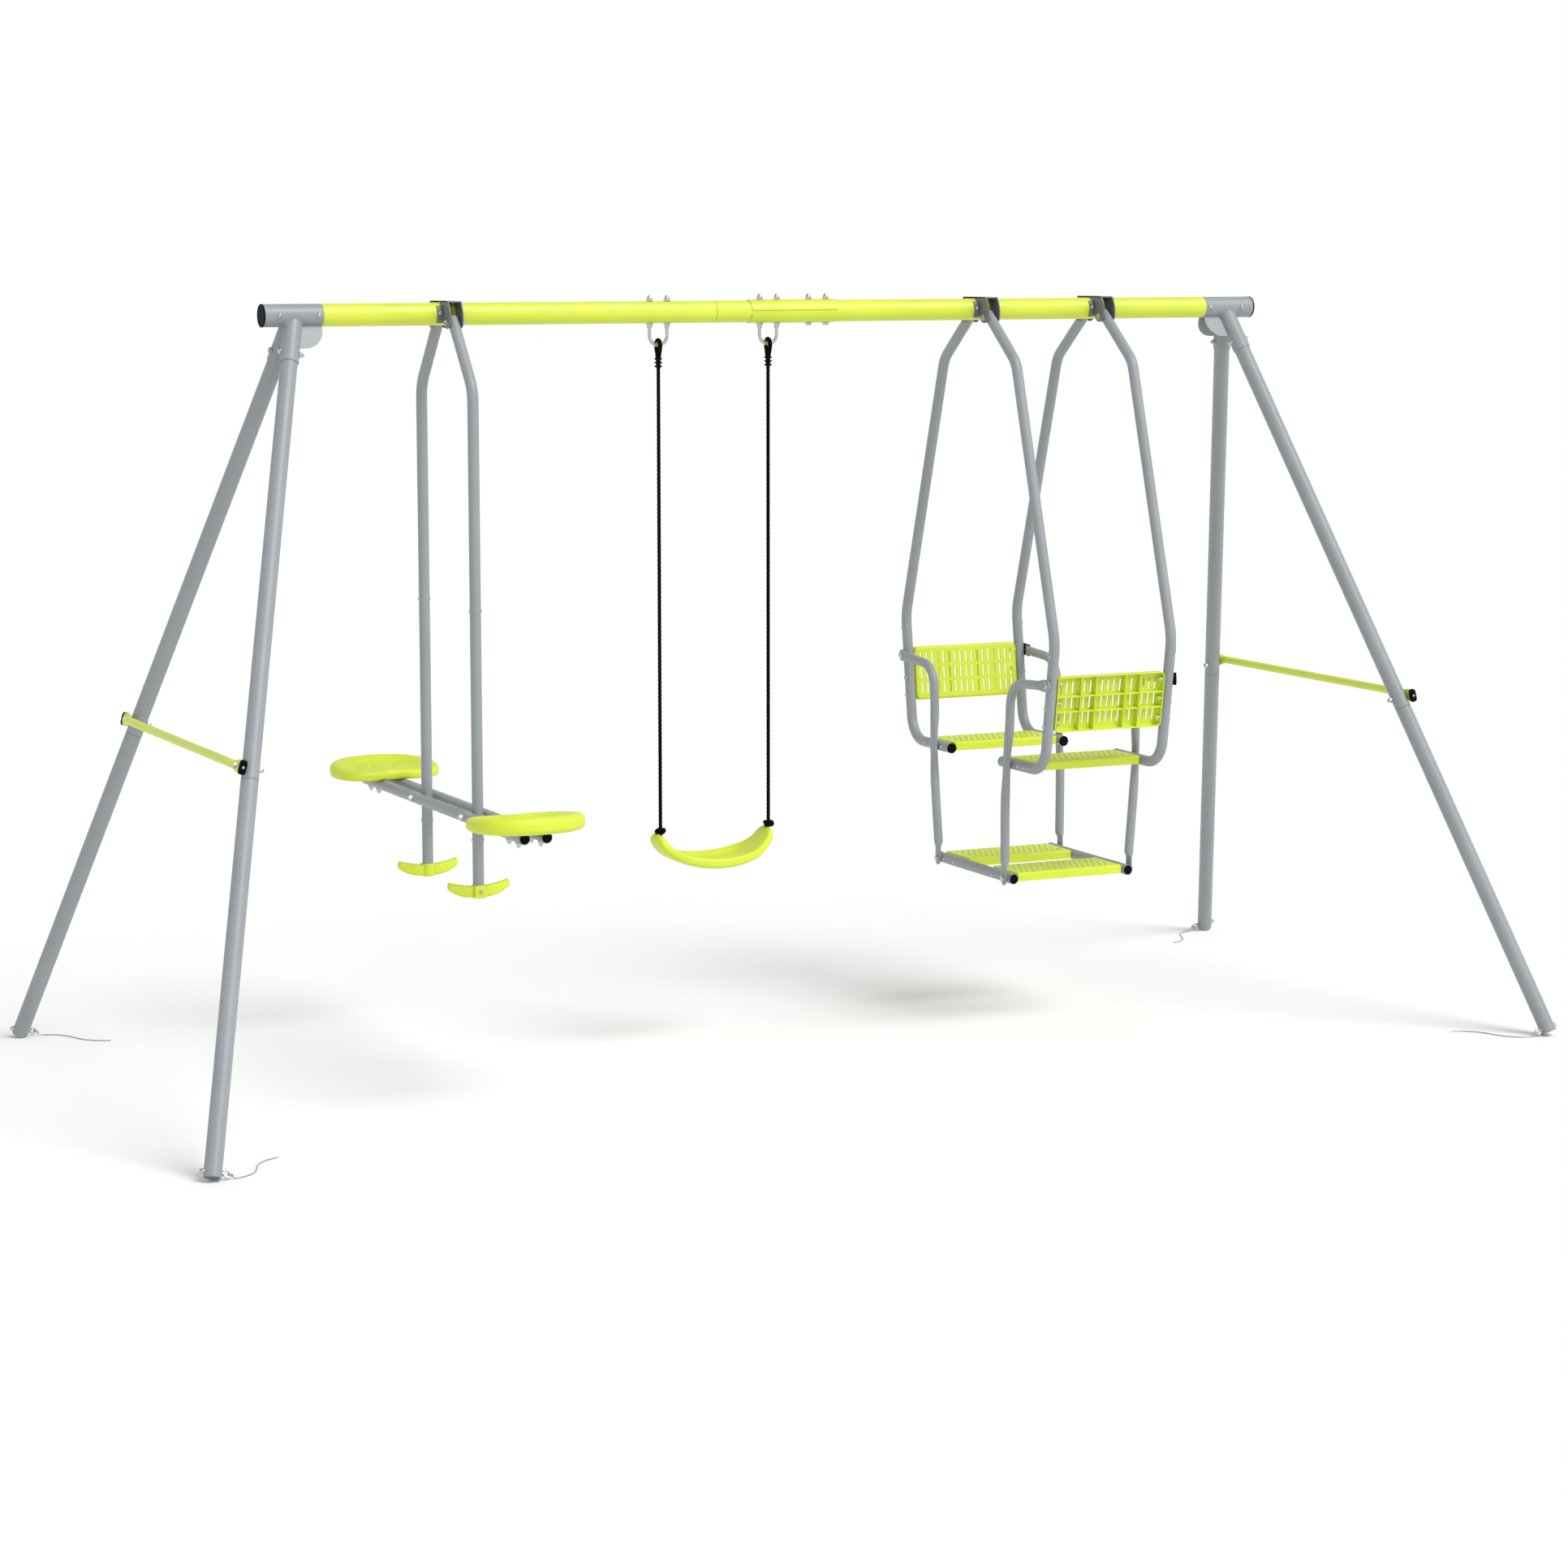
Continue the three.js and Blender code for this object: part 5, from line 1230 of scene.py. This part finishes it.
def slotted_tray(rows, pitch, slot, width, depth, edge, corner, staggered=False):
    """A moulded tray, open below, with rows of rounded slots. Its top face is at z = 0."""
    polygons = tray_rim(rows, pitch, width / 2, depth, edge, corner)
    for row in range(rows):
        y = (row - (rows - 1) / 2) * pitch[1]
        odd = staggered and row % 2
        count = SLOT_COLUMNS - 1 if odd else SLOT_COLUMNS
        for column in range(count):
            polygons += slot_cell((column - (count - 1) / 2) * pitch[0], y, pitch, slot)
        if odd:
            for side in (-1, 1):
                polygons += half_cell(side * (SLOT_COLUMNS / 2 - 0.25) * pitch[0], y, pitch)
    return form_of(polygons)


def rib(x, y, half_x, half_y, deep):
    """A rib that hangs from the tray's face."""
    return rounded_block(x - half_x, x + half_x, y - half_y, y + half_y, -deep, 0.0003 - TRAY_WALL, 0.0003)


def board():
    """A seat or footboard: six staggered rows of short slots."""
    inner_x, inner_y = PANEL_LENGTH / 2 - 0.003, BOARD_WIDTH / 2 - 0.003
    tray = slotted_tray(6, BOARD_PITCH, BOARD_SLOT, BOARD_WIDTH, BOARD_DEPTH, 0.005, 0.005, staggered=True)
    long_ribs = [rib(0, y, inner_x, 0.0012, 0.012) for y in (-BOARD_PITCH[1], BOARD_PITCH[1])]
    cross_ribs = [rib(x, 0, 0.0012, inner_y, 0.014) for x in (-0.094, -0.031, 0.031, 0.094)]
    return [tray] + long_ribs + cross_ribs


def backrest_screws():
    """Places of the six screws near the ends of a backrest."""
    end = PANEL_LENGTH / 2 - 0.0085
    return [at(side * end, y) for side in (-1, 1) for y in (-0.047, 0.0, 0.047)]


def backrest():
    """Three rows of long slots, with a grid of ribs and six screw bosses behind them."""
    inner_x, inner_y = PANEL_LENGTH / 2 - 0.003, BACKREST_WIDTH / 2 - 0.003
    tray = slotted_tray(3, BACKREST_PITCH, BACKREST_SLOT, BACKREST_WIDTH, BACKREST_DEPTH, 0.006, 0.012)
    rib_y = BACKREST_PITCH[1] / 2
    long_ribs = [rib(0, y, inner_x, 0.0016, 0.0172) for y in (-rib_y, rib_y)]
    cross_ribs = [rib(x, 0, 0.0016, inner_y, 0.0172) for x in (-0.080, -0.040, 0.040, 0.080)]
    boss = turned([(0, -0.0170), (0.0052, -0.0170), (0.0060, -0.0162), (0.0060, -0.0020), (0, -0.0020)])
    return [tray] + long_ribs + cross_ribs + [placed(boss, place) for place in backrest_screws()]


# ------------------------------------------------------------------ gondola: tubes and arms


def hanging_tube_route():
    """Down from the pivot, out round the backrest, and in along the seat rail."""
    corners = [tube_top(SHOULDER_Y, SHOULDER_Z), (0, -SHOULDER_Y, SHOULDER_Z), (0, -KNEE_Y, KNEE_Z),
               (0, -SEAT_RAIL_Y, SEAT_RAIL_Z), (0, -SEAT_RAIL_END_Y, SEAT_RAIL_Z)]
    return bent_route(corners, [0.070, 0.120, 0.066])


def tube_y_at(z):
    """Where the straight part of the hanging tube beside the backrest is, at height z."""
    share = (z - SEAT_RAIL_Z) / (KNEE_Z - SEAT_RAIL_Z)
    return -SEAT_RAIL_Y - (KNEE_Y - SEAT_RAIL_Y) * share


def tongue(station, length, flat):
    """Rings of a pressed end, from its rounded tip back to the station."""
    thick, wide, squareness = flat
    rings = []
    for share in (1.0, 0.985, 0.94, 0.86, 0.74, 0.5, 0.0):
        round_off = math.sqrt(max(1 - max((share - 0.55) / 0.45, 0) ** 2, 0.0004))
        section = oval_section(thick, wide * round_off, squareness)
        rings.append(section_ring(shifted(station, length * share), section, X_AXIS))
    return rings


def arm(outer, tip):
    """A bent tube beside the hanging tube, pressed flat at both ends and dented where it
    crosses the seat rail. The upper end reaches the tip's length past its last bend. Its
    bore isn't seen."""
    flat_x = outer * (TUBE_RADIUS + GAP + ARM_FLAT / 2)
    dent_x = outer * (TUBE_RADIUS + 0.0006 + ARM_DENT / 2)
    size = 2 * ARM_RADIUS
    round_tube, dent = (size, size, 2.0), (ARM_DENT, size + 0.005, 2.5)
    top_flat, foot_flat = (ARM_FLAT, 0.029, 4.0), (ARM_FLAT, 0.025, 4.0)
    corners = [(flat_x, -0.330, 0.8595), (flat_x, -0.197, 0.8515), (flat_x, -0.192, 0.720)]
    elbow = bent_route(corners, [0.060], math.radians(9))[1:-1]
    keys = [((flat_x, -0.3600, 0.8615), top_flat), ((flat_x, -0.3550, 0.8612), top_flat),
            (corners[0], round_tube)]
    keys += [(tuple(point), round_tube) for point, _ in elbow]
    keys += [
        ((flat_x + outer * 0.0005, -0.1916, 0.7350), round_tube),
        ((dent_x, -0.1875, SEAT_RAIL_Z + 0.015), dent),
        ((dent_x, -0.1865, SEAT_RAIL_Z - 0.015), dent),
        ((outer * 0.0195, -0.1810, 0.5700), round_tube),
        ((outer * 0.0152, -0.1734, 0.4500), round_tube),
        ((outer * 0.0141, -0.1714, 0.4190), round_tube),
        ((flat_x, -0.1704, 0.4020), foot_flat),
        ((flat_x, -0.1702, 0.3980), foot_flat),
    ]
    steps = 8
    line = [Vector(p) for p in smooth_line([point for point, _ in keys], steps)]
    ends = [line[0]] + line + [line[-1]]
    rings = []
    for i, (point, before, after) in enumerate(zip(line, ends, ends[2:])):
        key = min(i // steps, len(keys) - 2)
        blend = smooth_step(i / steps - key, 0, 1)
        sizes = [a + (b - a) * blend for a, b in zip(keys[key][1], keys[key + 1][1])]
        rings.append(section_ring((point, (after - before).normalized()), oval_section(*sizes), X_AXIS))
    top = (line[0], (line[1] - line[0]).normalized())
    foot = (line[-1], -Z_AXIS)
    return skin(tongue(top, -tip, top_flat) + rings[1:-1] + tongue(foot, 0.040, foot_flat)[::-1])


def arm_sleeve(outer):
    """A plastic sleeve over the pressed upper end of an arm."""
    along = Vector((0, 0.0330, -0.0020)).normalized()
    start = Vector((outer * (TUBE_RADIUS + 0.0036), -0.3745, 0.8625))
    keys = [(0.0, 0.0052, 0.0285), (0.0008, 0.0064, 0.0297),
            (0.0332, 0.0064, 0.0297), (0.0340, 0.0052, 0.0285)]
    return skin([section_ring((start + along * distance, along), oval_section(thick, wide, 5.0), X_AXIS)
                 for distance, thick, wide in keys])


def hanging_side(name, body, place, side):
    """One hanging tube with its arm. A right-hand arm ends in a plastic sleeve, and a left-hand
    one shows its bolt. Gives back the black plastic forms and the screws."""
    x = side * GONDOLA_HALF
    route = hanging_tube_route()
    piece(f"hanging_tube_{name}", body, "grey_paint", [bent_pipe(route), tube_end_dome(route[0])],
          [f"gondola_tube_{name}"], place @ at(x))
    sleeved = name.endswith("right")
    bent_arm = arm(side, 0.012 if sleeved else 0.024)
    piece(f"arm_{name}", body, "grey_paint", [bent_arm], [f"gondola_arm_{name}"], place @ at(x))
    caps = [tube_cap(1, x, -SEAT_RAIL_END_Y, SEAT_RAIL_Z)]
    outside = x + side * (TUBE_RADIUS - 0.0005)
    screws = [side_screw(side, outside, tube_y_at(z), z) for z in (0.762, 0.806, 0.930)]
    screws += [side_screw(side, outside, y, SEAT_RAIL_Z) for y in (-0.255, -0.225, -0.165)]
    inner_face = facing((-side, 0, 0), (x - side * (TUBE_RADIUS - 0.0004), tube_y_at(0.862), 0.862))
    screws += on_washer(inner_face, 0.0075, acorn_nut(0.0105, 0.0095))
    if sleeved:
        caps.append(placed(arm_sleeve(side), at(x)))
    else:
        face = x + side * (TUBE_RADIUS + GAP + ARM_FLAT - 0.0003)
        arm_bolt = facing((side, 0, 0), (face, -0.370, 0.8619))
        screws += [placed(washer(0.0080), arm_bolt), placed(button_screw(), arm_bolt, at(z=0.0012))]
    return caps, screws


def gondola_half(where, turned_by, names):
    """One hanging seat: a tube and an arm on each side, the seat board and the backrest. The
    names are those of the sides at -X and at +X before the half is turned."""
    body = f"gondola_{where}"
    place = at(GONDOLA_X) @ turn(turned_by, "Z")
    lean = at(0, -BACKREST_Y, BACKREST_Z) @ Matrix.Rotation(-math.pi / 2 + BACKREST_LEAN, 4, "X")
    caps = []
    screws = [placed(button_screw(0.0044, 0.0028), lean, spot, at(z=-0.0168) @ turn(180, "X"))
              for spot in backrest_screws()]
    for name, side in zip(names, (-1, 1)):
        side_caps, side_screws = hanging_side(f"{where}_{name}", body, place, side)
        caps += side_caps
        screws += side_screws
    piece(f"gondola_caps_{where}", body, "black_plastic", caps, place=place)
    piece(f"gondola_screws_{where}", body, "zinc", screws, place=place)
    piece(f"seat_board_{where}", body, "lime_plastic", board(), [f"gondola_seat_{where}"],
          place @ at(0, -SEAT_BOARD_Y, SEAT_RAIL_Z + TUBE_RADIUS + 0.0005))
    piece(f"backrest_panel_{where}", body, "lime_plastic", backrest(), [f"gondola_backrest_{where}"],
          place @ lean)


def gondola_floor():
    """Two rails hung between the arms' feet, with a footboard towards each seat."""
    caps, bolts = [], []
    for name, side in (("left", -1), ("right", 1)):
        x = side * GONDOLA_HALF
        rail = straight_pipe(TUBE_RADIUS, TUBE_WALL, -FLOOR_RAIL_HALF, FLOOR_RAIL_HALF)
        piece(f"floor_tube_{name}", "gondola_floor", "grey_paint", [rail], [f"gondola_floor_rail_{name}"],
              at(GONDOLA_X + x, 0, FLOOR_RAIL_Z) @ turn(-90, "X"))
        face = x + side * (TUBE_RADIUS + GAP + ARM_FLAT - 0.0002)
        outside = x + side * (TUBE_RADIUS - 0.0005)
        for end_side in SIDES.values():
            caps.append(tube_cap(end_side, x, end_side * (FLOOR_RAIL_HALF - 0.0029), FLOOR_RAIL_Z))
            pivot = facing((side, 0, 0), (face, end_side * ARM_FOOT_Y, FLOOR_RAIL_Z))
            bolts += on_washer(pivot, 0.0085, hex_head(0.0125, 0.0045), 0.0016)
            bolts.append(placed(pin(PIN_RADIUS, -0.02, 0), pivot))
            bolts += [side_screw(side, outside, end_side * y, FLOOR_RAIL_Z) for y in (0.098, 0.148)]
    piece("floor_tube_caps", "gondola_floor", "black_plastic", caps, place=at(GONDOLA_X))
    piece("floor_bolts", "gondola_floor", "zinc", bolts, place=at(GONDOLA_X))
    top_z = FLOOR_RAIL_Z + TUBE_RADIUS + 0.0005
    for where, turned_by in (("front", 0), ("back", 180)):
        place = at(GONDOLA_X, SIDES[where] * FOOTBOARD_Y, top_z) @ turn(turned_by, "Z")
        piece(f"foot_board_{where}", "gondola_floor", "lime_plastic", board(),
              [f"gondola_footboard_{where}"], place)


gondola_half("front", 0, ("left", "right"))
gondola_half("back", 180, ("right", "left"))
gondola_floor()

# ------------------------------------------------------------------ floor and light


def pale_finish(name, tone, roughness):
    f = Finish(name)
    cloud = f.noise(0.8, 3.0)
    f.set(Base_Color=f.mixed(f.between(cloud, 0, 1), tinted(tone, 0.985), tone), Roughness=roughness)
    return f.material


def make_floor():
    bpy.ops.mesh.primitive_plane_add(size=120, location=(0, 0, 0))
    floor = bpy.context.object
    floor.name = "studio_floor"
    floor.data.materials.append(pale_finish("studio_floor", colour(241, 241, 241), 0.9))


def make_sky():
    """White at the horizon and darker overhead, like a studio with bright walls."""
    world = bpy.data.worlds.new("studio")
    world.use_nodes = True
    nodes, links = world.node_tree.nodes, world.node_tree.links
    direction = nodes.new("ShaderNodeTexCoord").outputs["Generated"]
    split = nodes.new("ShaderNodeSeparateXYZ")
    links.new(direction, split.inputs["Vector"])
    fade = nodes.new("ShaderNodeMapRange")
    fade.interpolation_type = "SMOOTHSTEP"
    for key, number in (("From Min", 0.12), ("From Max", 0.75), ("To Min", 1.0), ("To Max", 0.45)):
        fade.inputs[key].default_value = number
    links.new(split.outputs["Z"], fade.inputs["Value"])
    links.new(fade.outputs["Result"], nodes["Background"].inputs["Strength"])
    nodes["Background"].inputs["Color"].default_value = (1, 1, 1, 1)
    bpy.context.scene.world = world


def make_key_light():
    """One broad, soft light from the upper right at the front."""
    data = bpy.data.lights.new("key", "SUN")
    data.energy = 2.5
    data.angle = math.radians(35)
    light = bpy.data.objects.new("key", data)
    light.rotation_euler = Vector((-0.36, 0.70, -0.95)).to_track_quat("-Z", "Y").to_euler()
    bpy.context.scene.collection.objects.link(light)


make_floor()
make_sky()
make_key_light()
bpy.context.scene.view_settings.view_transform = "Standard"
